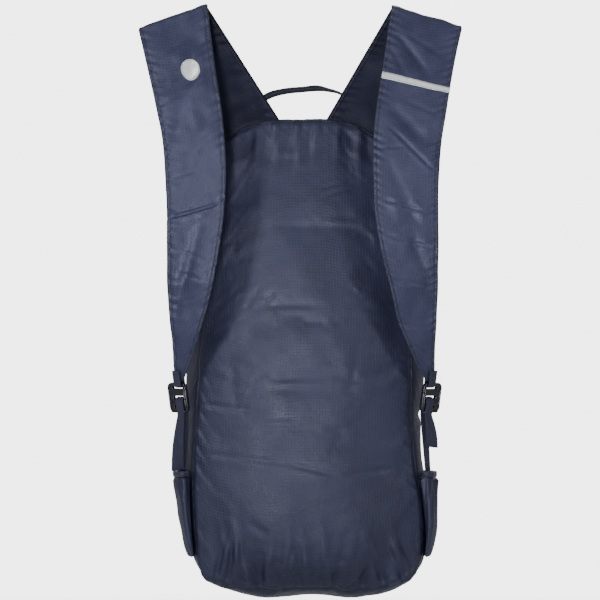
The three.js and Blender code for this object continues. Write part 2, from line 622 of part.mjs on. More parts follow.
function panels() {
  const fullAcross = (steps) => spread(-1 + acrossTrim, 1 - acrossTrim, steps);
  const fullUp = [alongTrim, 1 - alongTrim];
  add("back_panel", clothSheet(backPoint, fullAcross(backSteps.across), spreadToEnds(...fullUp, backSteps.up), clothWall, behind), ripstop());
  add("front_panel", clothSheet(frontPoint, fullAcross(frontSteps.across), spread(...fullUp, frontSteps.up), clothWall, ahead), ripstop());
  add("base_panel", clothSheet(basePoint, fullAcross(frontSteps.across), spread(depthTrim, 1 - depthTrim, 7), clothWall, below), ripstop());
  const creaseRows = [-2, -1, 0, 1, 2].map((step) => creaseUp + step * creaseBreadth);
  const rows = [...spread(...fullUp, 14), ...creaseRows].sort((a, b) => a - b);
  for (const [name, side] of [["left", -1], ["right", 1]]) {
    const surface = (w, up) => gussetPoint(side, up, w);
    const outward = new THREE.Vector3(side, 0, 0);
    add(`gusset_${name}`, clothSheet(surface, spread(depthTrim, 1 - depthTrim, 6), rows, clothWall, outward), ripstop());
  }
}

function topWithZip() {
  const depth = section.depth(1) * bagDepth;
  const halfZip = zipWidth / 2 / depth;
  const across = spread(-1 + acrossTrim, 1 - acrossTrim, 20);
  const rear = spread(depthTrim, zipPlace - halfZip - depthTrim, 2);
  const front = spread(zipPlace + halfZip + depthTrim, 1 - depthTrim, 2);
  add("top_gusset_rear", clothSheet(topPoint, across, rear, clothWall, above), ripstop());
  add("top_gusset_front", clothSheet(topPoint, across, front, clothWall, above), ripstop());
  const zipAcross = spread(-zipReach, zipReach, 18);
  const zipDepth = [zipPlace - halfZip, zipPlace + halfZip];
  add("main_zip", clothSheet(topPoint, zipAcross, zipDepth, zipThickness, above), webbingCloth());
  const halfSlider = sliderWidth / 2 / depth;
  const sliderEnd = zipReach - 0.02;
  const sliderAcross = spread(sliderEnd - sliderLength / halfBack / section.back(1), sliderEnd, 2);
  const sliderDepth = spread(zipPlace - halfSlider, zipPlace + halfSlider, 2);
  const seat = Math.max(zipThickness, clothWall) + seamGap;
  add("zip_slider", clothSheet(topPoint, sliderAcross, sliderDepth, sliderHeight, above, seat), plastic());
}

function pockets() {
  const hemShare = hemHeight / (bagHeight - cornerDrop);
  const gapShare = seamGap / (bagHeight - cornerDrop);
  for (const [name, side] of [["left", -1], ["right", 1]]) {
    const surface = (turn, up) => pocketPoint(side, up, turn);
    const outward = new THREE.Vector3(side, 0, 0);
    const turns = spreadToEnds(0.005, 0.995, 14);
    const heights = spread(0, 1, 8).map((s) => pocketFoot + (pocketMouth - pocketFoot) * s ** 1.3);
    add(`pocket_${name}`, clothSheet(surface, turns, heights, clothWall, outward), ripstop());
    const hem = [pocketMouth + gapShare, pocketMouth + gapShare + hemShare];
    add(`pocket_hem_${name}`, clothSheet(surface, turns, hem, hemThickness, outward, -0.2), webbingCloth());
  }
}

function strapsWithBuckles() {
  for (const name of ["left", "right"]) {
    const surface = strapSurface(name);
    const places = [...spread(0, 1, 4), ...spread(1, 2, 6).slice(1), ...spread(2, 3, 26).slice(1)];
    add(`strap_${name}`, ribbon(surface, spread(-1, 1, 5), places, strapThickness), strapCloth());
    const frame = buckleFrame(name);
    add(`buckle_${name}`, buckleGeometry(frame), plastic());
    add(`buckle_tie_${name}`, tieGeometry(frame), webbingCloth());
    add(`webbing_${name}`, webbingGeometry(name, frame), webbingCloth());
  }
}

// Reflective tape and dot, each on the face of its strap.
function reflectors() {
  const seat = strapThickness / 2 + seamGap;
  const right = strapSurface("right");
  const halfBand = bandWidth / strapDrop / 2;
  const band = (c, s) => right(c, 2 + bandDown - bandSlant * c + s * halfBand);
  add("reflective_band", clothSheet(band, spread(-0.985, 0.985, 8), [-1, 1], bandThickness, behind, seat), reflective());
  const left = strapSurface("left");
  const dot = (u, v) => {
    const c = dotAcross + (u * Math.sqrt(1 - (v * v) / 2) * dotDiameter) / strapWidth;
    return left(c, 2 + dotDown + (v * Math.sqrt(1 - (u * u) / 2) * dotDiameter) / strapDrop / 2);
  };
  const steps = spread(-0.97, 0.97, 3);
  add("reflective_dot", clothSheet(dot, steps, steps, bandThickness, behind, seat), reflective());
}

panels();
topWithZip();
pockets();
strapsWithBuckles();
reflectors();
add("haul_loop", loopGeometry(), webbingCloth());

export default group;
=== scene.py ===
# %% [markdown]
# # A packable daypack of thin ripstop
# The bag hangs by its haul loop with its back panel to the viewer. The wearer's side is what the photograph
# shows: a gathered back panel between two flat shoulder straps, ladder locks on thin webbing, and a mesh of
# fine squares over every piece of cloth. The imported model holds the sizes. This lesson dresses it, piece by
# piece, and leaves its places alone.

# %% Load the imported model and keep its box
import math
import bpy
import bmesh
import numpy as np
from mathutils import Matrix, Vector


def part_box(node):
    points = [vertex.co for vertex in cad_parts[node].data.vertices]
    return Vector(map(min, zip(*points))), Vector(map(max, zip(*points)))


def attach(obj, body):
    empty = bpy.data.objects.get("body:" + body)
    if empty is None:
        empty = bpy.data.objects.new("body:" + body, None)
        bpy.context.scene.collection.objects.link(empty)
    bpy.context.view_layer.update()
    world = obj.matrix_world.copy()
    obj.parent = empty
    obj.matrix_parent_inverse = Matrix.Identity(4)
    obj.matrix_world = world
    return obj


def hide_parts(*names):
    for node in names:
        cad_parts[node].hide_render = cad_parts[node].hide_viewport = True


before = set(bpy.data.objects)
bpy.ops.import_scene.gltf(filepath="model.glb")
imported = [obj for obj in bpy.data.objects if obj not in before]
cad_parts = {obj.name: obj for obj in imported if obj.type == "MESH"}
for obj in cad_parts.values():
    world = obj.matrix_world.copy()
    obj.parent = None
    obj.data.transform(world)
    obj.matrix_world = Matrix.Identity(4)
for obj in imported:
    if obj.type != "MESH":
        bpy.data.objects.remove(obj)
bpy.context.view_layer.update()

# %% [markdown]
# ## Camera
# The photograph looks straight at the bag from far away, with hardly any perspective. A long lens a few
# metres off gives that. One pixel of the 600 by 600 picture is 0.943 mm at the bag, and the origin, under the
# haul loop, lies at pixel 303 across and 92 down.

# %% Camera at the photograph's place
mm = 0.001
pixel = 0.943 * mm
picture = 600
origin_pixel = (303, 92)
camera_distance = 6.0

camera = bpy.data.objects.new("camera", bpy.data.cameras.new("camera"))
bpy.context.scene.collection.objects.link(camera)
camera_x = (picture / 2 - origin_pixel[0]) * pixel
camera_z = (origin_pixel[1] - picture / 2) * pixel
camera.location = (camera_x, -camera_distance, camera_z)
camera.rotation_euler = (math.pi / 2, 0, 0)
camera.data.sensor_width = 36
camera.data.lens = camera.data.sensor_width * camera_distance / (picture * pixel)
camera.data.clip_end = 100
bpy.context.scene.camera = camera
print("lens in millimetres:", round(camera.data.lens, 1))

# %% [markdown]
# ## Floor and light
# Product pictures of dark cloth are lit by large soft boxes, because a thin shiny nylon only shows its folds
# as highlights. The strongest box stands low in front of the bag, and its highlight runs down the crown of
# the back panel. Weaker ones stand left and right, overhead and behind. A lamp without size would give hard
# spots, so the boxes are area lights. The world is pale, and palest straight behind the bag, where the
# photograph is white.

# %% Soft boxes and world
studio_middle = Vector((0, 0, -0.2))


def soft_box(name, place, size, power):
    lamp = bpy.data.lights.new(name, "AREA")
    lamp.shape = "RECTANGLE"
    lamp.size, lamp.size_y = size
    lamp.energy = power
    box = bpy.data.objects.new(name, lamp)
    box.location = place
    box.rotation_euler = (Vector(place) - studio_middle).to_track_quat("Z", "Y").to_euler()
    bpy.context.scene.collection.objects.link(box)
    print(name, "watts:", power)


soft_box("left_box", (-1.6, -1.9, 0.7), (0.4, 0.8), 24)
soft_box("right_box", (1.8, -1.9, 0.6), (0.4, 0.8), 13)
soft_box("front_box", (-0.4, -2.8, -0.95), (0.4, 0.9), 50)
soft_box("top_box", (0, -0.3, 1.9), (1.2, 0.8), 3)
soft_box("back_box", (0.6, 2.2, 0.8), (1.4, 1.4), 22)

world = bpy.data.worlds.new("pale_studio")
world.use_nodes = True
tree = world.node_tree
background = tree.nodes["Background"]
direction = tree.nodes.new("ShaderNodeSeparateXYZ")
tree.links.new(tree.nodes.new("ShaderNodeTexCoord").outputs["Generated"], direction.inputs[0])
brighter_behind = tree.nodes.new("ShaderNodeMapRange")
brighter_behind.interpolation_type = "SMOOTHSTEP"
glow_from, glow_full, sky_strength, glow_strength = 0.97, 0.99, 0.32, 4.4
for socket, value in zip(brighter_behind.inputs[1:5], (glow_from, glow_full, sky_strength, glow_strength)):
    socket.default_value = value
tree.links.new(direction.outputs["Y"], brighter_behind.inputs[0])
tree.links.new(brighter_behind.outputs[0], background.inputs["Strength"])
background.inputs["Color"].default_value = (1, 1, 1, 1)
bpy.context.scene.world = world

# %% [markdown]
# ## Numbers in tables
# The bag's shape is told in short tables, one row for each height. Between the rows the values run on a
# smooth curve, so few rows are enough. Blender's own curves could do this too, but a function of one number
# is easier to use for surfaces that are worked out point by point.

# %% A smooth curve through one column of a table
def smooth(rows, place, key):
    at = np.array([row[place] for row in rows], float)
    value = np.array([row[key] for row in rows], float)
    chord = np.diff(value) / np.diff(at)
    slope = np.concatenate([chord[:1], (chord[:-1] + chord[1:]) / 2, chord[-1:]])

    def curve(x):
        x = np.clip(np.asarray(x, float), at[0], at[-1])
        i = np.clip(np.searchsorted(at, x, "right") - 1, 0, len(at) - 2)
        span = at[i + 1] - at[i]
        s = (x - at[i]) / span
        keep = (1 + 2 * s) * (1 - s) ** 2
        bend = s * (1 - s) ** 2 * slope[i] + s * s * (s - 1) * slope[i + 1]
        return keep * value[i] + (1 - keep) * value[i + 1] + span * bend

    return curve


def table(columns, rows):
    return [dict(zip(columns.split(), row)) for row in rows]


squares_of_three = table("number square", [(0, 0), (1, 1), (2, 4)])
square_at = smooth(squares_of_three, "number", "square")
print("a curve through 0, 1 and 4 at one and a half:", round(float(square_at(1.5)), 3))

# %% [markdown]
# ## The bag's form
# The body of the bag is a loft of rounded sections, wide at the hips and narrow at the shoulders. Each
# section has a back edge, a front edge, a crown on both panels and a bulge at the sides. The lengths are
# shares of the back's width and of the bag's depth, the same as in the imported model, so that the cloth lies
# on its solids.

# %% Sections of the bag
half_back = 103 * mm
depth = 100 * mm
seat = -7.5 * mm  # the back seam hangs this much in front of the haul loop
top_seam, base_seam = -27 * mm, -470.5 * mm
corner_drop, corner_lift, front_drop = 35 * mm, 11 * mm, 9 * mm
base_sag, top_rise = 5 * mm, 3 * mm
waist_crease, waist_height, waist_breadth = 2.5 * mm, 0.395, 0.014

sections = table("up back front lean sway depth back_crown front_crown bulge", [
    (0.00, 0.970, 0.90, 0.045, 0.06, 0.76, 0.03, 0.04, 0.00),
    (0.04, 1.030, 0.95, 0.055, 0.04, 0.86, 0.12, 0.12, 0.03),
    (0.10, 1.050, 0.97, 0.055, 0.02, 0.94, 0.18, 0.19, 0.06),
    (0.20, 1.040, 0.97, 0.028, 0.00, 0.99, 0.22, 0.25, 0.07),
    (0.35, 1.000, 0.95, 0.003, -0.01, 1.00, 0.24, 0.28, 0.09),
    (0.45, 0.980, 0.93, 0.015, -0.02, 0.98, 0.24, 0.28, 0.12),
    (0.60, 0.947, 0.90, 0.030, -0.02, 0.92, 0.22, 0.26, 0.11),
    (0.78, 0.927, 0.86, 0.012, -0.02, 0.78, 0.16, 0.20, 0.08),
    (0.90, 0.895, 0.81, 0.000, -0.01, 0.60, 0.09, 0.11, 0.05),
    (1.00, 0.835, 0.74, 0.000, 0.00, 0.42, 0.01, 0.02, 0.00),
])
section = {key: smooth(sections, "up", key) for key in sections[0]}


def back_surface(u, up):
    crown = 1 - abs(u) ** 2.6
    x = (section["lean"](up) + u * section["back"](up)) * half_back
    y = seat + (section["sway"](up) - section["back_crown"](up) * crown) * depth
    low = base_seam + corner_lift * abs(u) ** 5
    high = top_seam - corner_drop * abs(u) ** 3.5
    return np.stack([x, y, low + (high - low) * up], -1)


def front_surface(u, up):
    crown = 1 - abs(u) ** 2.6
    x = (section["lean"](up) + u * section["front"](up)) * half_back
    y = seat + (section["sway"](up) + section["depth"](up) + section["front_crown"](up) * crown) * depth
    low = base_seam + corner_lift * abs(u) ** 5
    high = top_seam - corner_drop * abs(u) ** 3.5 - front_drop
    return np.stack([x, y, low + (high - low) * up], -1)


def between(u, up, w):
    share = np.asarray(w)[..., None]
    return back_surface(u, up) * (1 - share) + front_surface(u, up) * share


def gusset_surface(side, up, w):
    point = between(side + 0 * up, up, w)
    bow = np.sin(math.pi * w) + 0.22 * np.sin(2 * math.pi * w)
    crease = waist_crease * np.exp(-((up - waist_height) / waist_breadth) ** 2)
    point[..., 0] += side * (section["bulge"](up) * depth - crease) * bow
    return point


def base_surface(u, w):
    point = between(u, 0 * u, w)
    point[..., 2] -= base_sag * (1 - u ** 4) * (1 - abs(2 * w - 1) ** 3)
    return point


def top_surface(u, w):
    point = between(u, 0 * u + 1, w)
    point[..., 2] += top_rise * (1 - u ** 4) * np.sin(math.pi * w)
    return point


top_half_width = sections[-1]["back"] * half_back
waist = gusset_surface(1, np.array([waist_height]), np.array([0.5]))[0]
print("side of the waist in metres:", np.round(waist, 4))

# %% [markdown]
# ## Cloth as grids
# Every piece of cloth here is a grid of points, row by row. A grid keeps its weave straight, lets a seam be
# found by counting rows, and can be made finer at will. Sculpting or remeshing would lose all three. A helper
# makes a closed thin shell of a grid, and leaves on each point where it lies in the cloth, in metres: across,
# along, and how far from the nearest seam. The materials read those three numbers.

# %% Finer grids, outward directions and lengths along the cloth
def finer_rows(grid, times):
    last = len(grid) - 1
    before = 2 * grid[:1] - grid[1:2]
    after = 2 * grid[-1:] - grid[-2:-1]
    padded = np.concatenate([before, grid, after])
    place = np.linspace(0, last, last * times + 1)
    i = np.minimum(place.astype(int), last - 1)
    s = (place - i).reshape(-1, *[1] * (grid.ndim - 1))
    a, b, c, d = padded[i], padded[i + 1], padded[i + 2], padded[i + 3]
    return b + s / 2 * (c - a + s * (2 * a - 5 * b + 4 * c - d + s * (3 * (b - c) + d - a)))


def finer(grid, times):
    once = finer_rows(grid, times)
    return finer_rows(once.swapaxes(0, 1), times).swapaxes(0, 1)


def outward_of(grid, towards):
    along, across = np.gradient(grid, axis=(0, 1))
    normal = np.cross(across, along)
    normal /= np.maximum(np.linalg.norm(normal, axis=-1, keepdims=True), 1e-12)
    middle = normal[grid.shape[0] // 2, grid.shape[1] // 2]
    return -normal if middle @ np.array(towards, float) < 0 else normal


def lengths(grid, axis):
    step = np.linalg.norm(np.diff(grid, axis=axis), axis=-1)
    start = np.zeros_like(step.take([0], axis=axis))
    return np.concatenate([start, np.cumsum(step, axis=axis)], axis=axis)


def cloth_places(grid, seams="lrbt"):
    across, along = lengths(grid, 1), lengths(grid, 0)
    edges = {"l": across, "r": across[:, -1:] - across, "b": along, "t": along[-1:] - along}
    nearest = np.full(across.shape, 1.0)
    for seam in seams:
        nearest = np.minimum(nearest, edges[seam])
    middle = across[:, across.shape[1] // 2, None]
    return np.stack([across - middle, along, nearest], -1)


patch = np.stack([*np.meshgrid([0.0, 1.0, 2.0], [0.0, 1.0, 2.0]), np.zeros((3, 3))], -1)
print("a patch of", patch.shape[:2], "points, made finer:", finer(patch, 2).shape[:2])


# %% A closed shell of a grid
def plain_mesh(name, points, quads, places=None):
    mesh = bpy.data.meshes.new(name)
    mesh.vertices.add(len(points))
    mesh.vertices.foreach_set("co", np.ascontiguousarray(points, np.float32).ravel())
    mesh.loops.add(quads.size)
    mesh.loops.foreach_set("vertex_index", quads.astype(np.int32).ravel())
    mesh.polygons.add(len(quads))
    mesh.polygons.foreach_set("loop_start", np.arange(0, quads.size, quads.shape[1], dtype=np.int32))
    mesh.polygons.foreach_set("use_smooth", np.ones(len(quads), bool))
    mesh.update(calc_edges=True)
    if places is not None:
        weave = mesh.attributes.new("weave", "FLOAT_VECTOR", "POINT")
        weave.data.foreach_set("vector", np.ascontiguousarray(places, np.float32).ravel())
    piece = bpy.data.objects.new(name, mesh)
    bpy.context.scene.collection.objects.link(piece)
    return piece


def quads_of(at):
    return np.stack([at[:-1, :-1], at[:-1, 1:], at[1:, 1:], at[1:, :-1]], -1).reshape(-1, 4)


def grid_quads(rows, cols, start=0):
    return quads_of(start + np.arange(rows * cols).reshape(rows, cols))


def shell(name, grid, towards, outer, inner, places):
    rows, cols = grid.shape[:2]
    normal = outward_of(grid, towards)
    count = rows * cols
    top = grid + normal * np.broadcast_to(outer, (rows, cols))[..., None]
    bottom = grid + normal * np.broadcast_to(inner, (rows, cols))[..., None]
    at = np.arange(count).reshape(rows, cols)
    rim = np.concatenate([at[0, :-1], at[:-1, -1], at[-1, :0:-1], at[:0:-1, 0]])
    ahead = np.roll(rim, -1)
    quads = np.concatenate([
        grid_quads(rows, cols),
        grid_quads(rows, cols, count)[:, ::-1],
        np.stack([ahead, rim, rim + count, ahead + count], -1),
    ])
    flip = np.cross(grid[0, 1] - grid[0, 0], grid[1, 0] - grid[0, 0]) @ normal[0, 0] < 0
    if flip:
        quads = quads[:, ::-1]
    points = np.concatenate([top.reshape(-1, 3), bottom.reshape(-1, 3)])
    return plain_mesh(name, points, quads, np.concatenate([places.reshape(-1, 3)] * 2))


print("squares in a grid of three by four points:", len(grid_quads(3, 4)))

# %% [markdown]
# ## Folds from the photograph
# A few folds are plain to see and give this bag its look, so they are laid one by one: each is a line in the
# picture, pressed into the cloth that lies there. Everything smaller comes from two other sources, gathers
# that fan from a tight seam, and a soft rumple that is a sum of long waves in many directions. Waves are
# smooth and seeded, so the cloth is the same each time.

# %% Creases, puckers and rumples
def on_picture(x, y):
    return np.array([(x - origin_pixel[0]) * pixel, (origin_pixel[1] - y) * pixel])


def creases_at(grid, creases):
    flat = grid[..., [0, 2]]
    dent = np.zeros(flat.shape[:2])
    for x1, y1, x2, y2, deep, breadth in creases:
        start, end = on_picture(x1, y1), on_picture(x2, y2)
        line = end - start
        share = ((flat - start) @ line) / (line @ line)
        off = (flat[..., 0] - start[0]) * line[1] - (flat[..., 1] - start[1]) * line[0]
        off = off / np.linalg.norm(line) / (0.6 * breadth * mm)
        fade = np.clip(share / 0.3, 0, 1) * np.clip((1 - share) / 0.3, 0, 1)
        fade = fade * fade * (3 - 2 * fade)
        lip, far_lip = np.exp(-((off - 2.2) / 1.6) ** 2), np.exp(-((off + 2.4) / 1.7) ** 2)
        valley = np.exp(-off ** 2) - 0.5 * lip - 0.3 * far_lip
        dent -= 0.6 * deep * mm * fade * valley
    return dent


def rumple(grid, wave, height, seed, stretch=(1, 1, 1)):
    draw = np.random.default_rng(seed)
    total = np.zeros(grid.shape[:2])
    for _ in range(14):
        direction = draw.normal(size=3) * np.array(stretch)
        direction *= 2 * math.pi / wave * draw.uniform(0.6, 1.6) / np.linalg.norm(direction)
        total += np.sin(grid @ direction + draw.uniform(0, 2 * math.pi))
    return total * height / math.sqrt(14)


def puckers(run, away, wave, height, reach, seed):
    draw = np.random.default_rng(seed)
    wavering = 0
    for _ in range(4):
        strength, length, shift = draw.uniform(0.5, 1), draw.uniform(0.65, 1.7), draw.uniform(0, 6.28)
        wavering = wavering + strength * np.sin(2 * math.pi * run / (wave * length) + shift)
    rise = np.clip(away / (0.12 * reach), 0, 1)
    return height / 2 * wavering * rise * np.exp(-((away / reach) ** 1.5))


def pleats(run, away, wave, height, reach, seed):
    draw = np.random.default_rng(seed)
    first, second, third = draw.uniform(0, 2 * math.pi, 3)
    slant = 0.3 * away * np.sin(run / (38 * mm) + first)
    ridge = abs(np.sin(math.pi * (run + slant) / wave + 1.4 * np.sin(run / (21 * mm) + second)))
    uneven = 0.65 + 0.35 * np.sin(run / (17 * mm) + third)
    fade = np.clip(away / (4 * mm), 0, 1) * np.exp(-((away / reach) ** 1.6))
    return height * (ridge - 0.45) * uneven * fade


print("lower left corner of the bag in the picture's plane, in metres:", np.round(on_picture(199, 580), 4))


# %% [markdown]
# ## The bag as one cloth
# A light bag with something soft inside stands full, but its thin cloth still buckles where it is gathered
# into a seam. That is hard to draw and easy to simulate: all panels are joined into one mesh, the cloth is
# blown up gently from inside, and the seams are drawn a little shorter than the cloth. Blender's cloth then
# makes the gathers. Gravity stays off. Only the folds are kept: the smooth part of each move is taken away
# again, so that the bag keeps its outline, and what is left is held to a few millimetres.

# %% Panels of the bag on one set of points
steps_across, steps_up, steps_deep = 44, 84, 18
ends = np.linspace(-1, 1, steps_across + 1)
across = 0.8 * ends + 0.2 * np.sin(math.pi / 2 * ends)
up = np.linspace(0, 1, steps_up + 1)
deep = np.linspace(0, 1, steps_deep + 1)


def laid(surface, first, second):
    return surface(*np.meshgrid(first, second))


panels = {
    "back_panel": laid(back_surface, across, up),
    "front_panel": laid(front_surface, across, up),
    "gusset_left": laid(lambda w, h: gusset_surface(-1, h, w), deep, up),
    "gusset_right": laid(lambda w, h: gusset_surface(1, h, w), deep, up),
    "base_panel": laid(base_surface, across, deep),
    "top_gusset": laid(top_surface, across, deep),
}
facing = {
    "back_panel": (0, -1, 0), "front_panel": (0, 1, 0), "base_panel": (0, 0, -1),
    "gusset_left": (-1, 0, 0), "gusset_right": (1, 0, 0), "top_gusset": (0, 0, 1),
}
every_point = np.concatenate([grid.reshape(-1, 3) for grid in panels.values()])
_, first_seen, shared = np.unique(np.round(every_point, 5), axis=0, return_index=True, return_inverse=True)
bag_points = every_point[first_seen]
numbers, start = {}, 0
for name, grid in panels.items():
    count = grid.shape[0] * grid.shape[1]
    numbers[name] = shared.reshape(-1)[start:start + count].reshape(grid.shape[:2])
    start += count


def turned_outward(name):
    grid, quads = panels[name], quads_of(numbers[name])
    corner_way = np.cross(grid[0, 1] - grid[0, 0], grid[1, 0] - grid[0, 0])
    return quads if outward_of(grid, facing[name])[1, 1] @ corner_way > 0 else quads[:, ::-1]


bag_quads = np.concatenate([turned_outward(name) for name in panels])
print("points in the bag's cloth:", len(bag_points), "squares:", len(bag_quads))


# %% Blow up the bag and draw its seams together
def spread_out(values, quads, rounds):
    here, ahead = quads.T.ravel(), np.roll(quads, -1, 1).T.ravel()
    first, second = np.concatenate([here, ahead]), np.concatenate([ahead, here])
    count = np.bincount(first, minlength=len(values))[:, None]
    for _ in range(rounds):
        values = np.stack([np.bincount(first, values[second, k], len(values)) for k in range(3)], -1) / count
    return values


def settle(points, quads, tightness, frames, pressure, shrink, slack, most):
    piece = plain_mesh("cloth_in_work", points, quads)
    group = piece.vertex_groups.new(name="tight")
    for i, weight in enumerate(tightness):
        group.add([i], float(weight), "REPLACE")
    cloth = piece.modifiers.new("cloth", "CLOTH")
    settings = cloth.settings
    settings.quality = 6
    settings.mass = 0.12
    settings.tension_stiffness = settings.compression_stiffness = 22
    settings.shear_stiffness = 8
    settings.bending_stiffness = 0.08
    settings.use_pressure = True
    settings.uniform_pressure_force = pressure
    settings.vertex_group_shrink = "tight"
    settings.shrink_min, settings.shrink_max = -slack, shrink
    settings.effector_weights.gravity = 0
    cloth.collision_settings.use_collision = False
    for number in range(1, frames + 1):
        bpy.context.scene.frame_set(number)
    evaluated = piece.evaluated_get(bpy.context.evaluated_depsgraph_get())
    settled = np.zeros(len(points) * 3, np.float32)
    evaluated.data.vertices.foreach_get("co", settled)
    bpy.context.scene.frame_set(1)
    bpy.data.objects.remove(piece)
    move = settled.reshape(-1, 3) - points
    smoothing_rounds = 70
    move -= spread_out(move, quads, smoothing_rounds)
    far = np.maximum(np.linalg.norm(move, axis=1, keepdims=True), 1e-9)
    print("cloth moved at most, in millimetres:", round(float(far.max() / mm), 1))
    low = np.exp(-((points[:, 2:] - base_seam) / (50 * mm)) ** 2)
    under = np.sin(math.pi * np.clip((points[:, 1:2] - seat) / (0.8 * depth), 0, 1))
    return points + move / far * most * np.tanh(far / most) * (0.2 + 0.6 * low * (1 - under))


def bag_tightness():
    tight = np.zeros(len(bag_points))
    for name, grid in panels.items():
        away = cloth_places(grid)[..., 2] / (22 * mm)
        np.maximum.at(tight, numbers[name], np.exp(-away ** 2))
    return tight


settled_points = settle(bag_points, bag_quads, bag_tightness(), 22, 1.2, 0.07, 0.015, 5 * mm)
panels = {name: settled_points[at] for name, at in numbers.items()}
print("panels cut apart again:", ", ".join(panels))

# %% [markdown]
# ## Finishes
# The cloth is a thin nylon ripstop, navy, with a soft sheen: a plain weave with a thicker thread every few
# millimetres both ways, which draws the small squares. A picture texture would need a scan and would blur
# close up. Here the threads are worked out from the cloth's own lengths, so they follow every fold. Thread
# and crinkle go into the bump, the thicker threads also a little into the colour. Painted shade darkens the
# colour towards every seam and along the straps' stitching.

# %% A small bench for wiring materials
class Bench:
    def __init__(self, name):
        self.material = bpy.data.materials.new(name)
        self.material.use_nodes = True
        self.tree = self.material.node_tree
        self.shader = self.tree.nodes["Principled BSDF"]

    def node(self, kind, settings=None, **inputs):
        made = self.tree.nodes.new(kind)
        for key, value in (settings or {}).items():
            setattr(made, key, value)
        for key, value in inputs.items():
            self.put(made.inputs[key.replace("_", " ")], value)
        return made

    def put(self, socket, value):
        if isinstance(value, bpy.types.NodeSocket):
            self.tree.links.new(value, socket)
        else:
            socket.default_value = value

    def math(self, operation, first, second=0.0, third=0.0):
        made = self.node("ShaderNodeMath", {"operation": operation})
        for socket, value in zip(made.inputs, (first, second, third)):
            self.put(socket, value)
        return made.outputs[0]

    def ramp(self, value, low, high, to_low=0.0, to_high=1.0):
        made = self.node("ShaderNodeMapRange", {"interpolation_type": "SMOOTHSTEP"})
        for socket, given in zip(made.inputs, (value, low, high, to_low, to_high)):
            self.put(socket, given)
        return made.outputs[0]

    def noise(self, where, scale, detail=3.0, roughness=0.55):
        made = self.node("ShaderNodeTexNoise", None, Vector=where, Scale=scale, Detail=detail,
                         Roughness=roughness)
        return made.outputs[0]

    def mix(self, share, first, second):
        made = self.node("ShaderNodeMix", {"data_type": "RGBA"})
        for place, value in ((0, share), (6, first), (7, second)):
            self.put(made.inputs[place], value)
        return made.outputs[2]

    def cloth_place(self):
        weave = self.node("ShaderNodeAttribute", {"attribute_name": "weave"})
        parts = self.node("ShaderNodeSeparateXYZ", None, Vector=weave.outputs["Vector"])
        return weave.outputs["Vector"], *parts.outputs

    def finish(self, color, roughness, height=None, lift=1.0, **constants):
        self.put(self.shader.inputs["Base Color"], color)
        self.put(self.shader.inputs["Roughness"], roughness)
        for key, value in constants.items():
            self.shader.inputs[key.replace("_", " ")].default_value = value
        if height is not None:
            bump = self.node("ShaderNodeBump", None, Height=height, Distance=lift)
            self.put(self.shader.inputs["Normal"], bump.outputs[0])
        return self.material


def tinted(color, share):
    return tuple(share * part for part in color[:3]) + (1,)


# %% Ripstop
def ripstop(name, dark, light, grid_share, gloss, sewn_at=0.0):
    bench = Bench(name)
    weave, across, along, seam = bench.cloth_place()

    def thread(place, pitch, width):
        near = bench.math("PINGPONG", place, pitch / 2)
        return bench.ramp(near, width * 0.35, width, 1, 0)

    square = 2.9 * mm
    squares = bench.math("MAXIMUM", thread(across, square, 0.34 * mm), thread(along, square, 0.34 * mm))
    fine = bench.math("ADD", bench.math("SINE", bench.math("MULTIPLY", across, 2 * math.pi / (0.42 * mm))),
                      bench.math("SINE", bench.math("MULTIPLY", along, 2 * math.pi / (0.42 * mm))))
    crumple = bench.noise(weave, 95, 4, 0.6)
    patches = bench.noise(weave, 22, 2, 0.5)
    tone = bench.mix(bench.ramp(patches, 0.3, 0.7), dark, light)
    tone = bench.mix(bench.math("MULTIPLY", squares, grid_share), tone, tinted(light, 2.1))
    # painted shade: the colour darkens towards every seam, where the seam's groove lies in shade
    tone = bench.mix(bench.ramp(seam, 0.4 * mm, 3.5 * mm, 0.45, 0), tone, tinted(dark, 0.35))
    # painted shade: a darker line along the stitch groove of the straps
    if sewn_at:
        off = bench.math("ABSOLUTE", bench.math("SUBTRACT", seam, sewn_at))
        tone = bench.mix(bench.ramp(off, 0.25 * mm, 0.8 * mm, 0.75, 0), tone, tinted(dark, 0.25))
    height = bench.math("MULTIPLY", crumple, 0.34 * mm)
    for part, rise in ((squares, 0.09 * mm), (fine, 0.004 * mm)):
        height = bench.math("ADD", height, bench.math("MULTIPLY", part, rise))
    rough = bench.ramp(patches, 0.25, 0.75, 0.43, 0.54)
    return bench.finish(tone, rough, height, Sheen_Weight=0.03, Sheen_Roughness=0.35,
                        Sheen_Tint=(0.7, 0.78, 1, 1), Specular_IOR_Level=gloss,
                        Specular_Tint=(0.75, 0.78, 1, 1))


stitch_inset = 3.4 * mm
body_cloth = ripstop("ripstop_navy", (0.006, 0.0068, 0.025, 1), (0.0105, 0.012, 0.039, 1), 0.28, 0.8)
strap_cloth = ripstop("ripstop_strap", (0.016, 0.0182, 0.049, 1), (0.026, 0.0295, 0.069, 1), 0.18, 0.72,
                      stitch_inset)
# painted shade: a darker, duller copy of the strap's ripstop for the straps' underside, which faces the
# viewer on the rear legs
strap_underside_painted_shade = ripstop("ripstop_underside_painted_shade", (0.005, 0.0052, 0.014, 1), (0.0095, 0.01, 0.024, 1), 0.3, 0.2,
                       stitch_inset)
print("cloths:", body_cloth.name, strap_cloth.name, strap_underside_painted_shade.name)

# %% [markdown]
# ### Webbing, thread, plastic and film
# The webbing and the bindings are woven much coarser than the cloth, with ribs across the tape. The buckles
# are moulded in dark plastic with a fine grain and a few scuffs, and the reflective film holds small glass
# beads. Each finish is a few nodes, made by one short function, because a picture of each would have to be
# scanned.

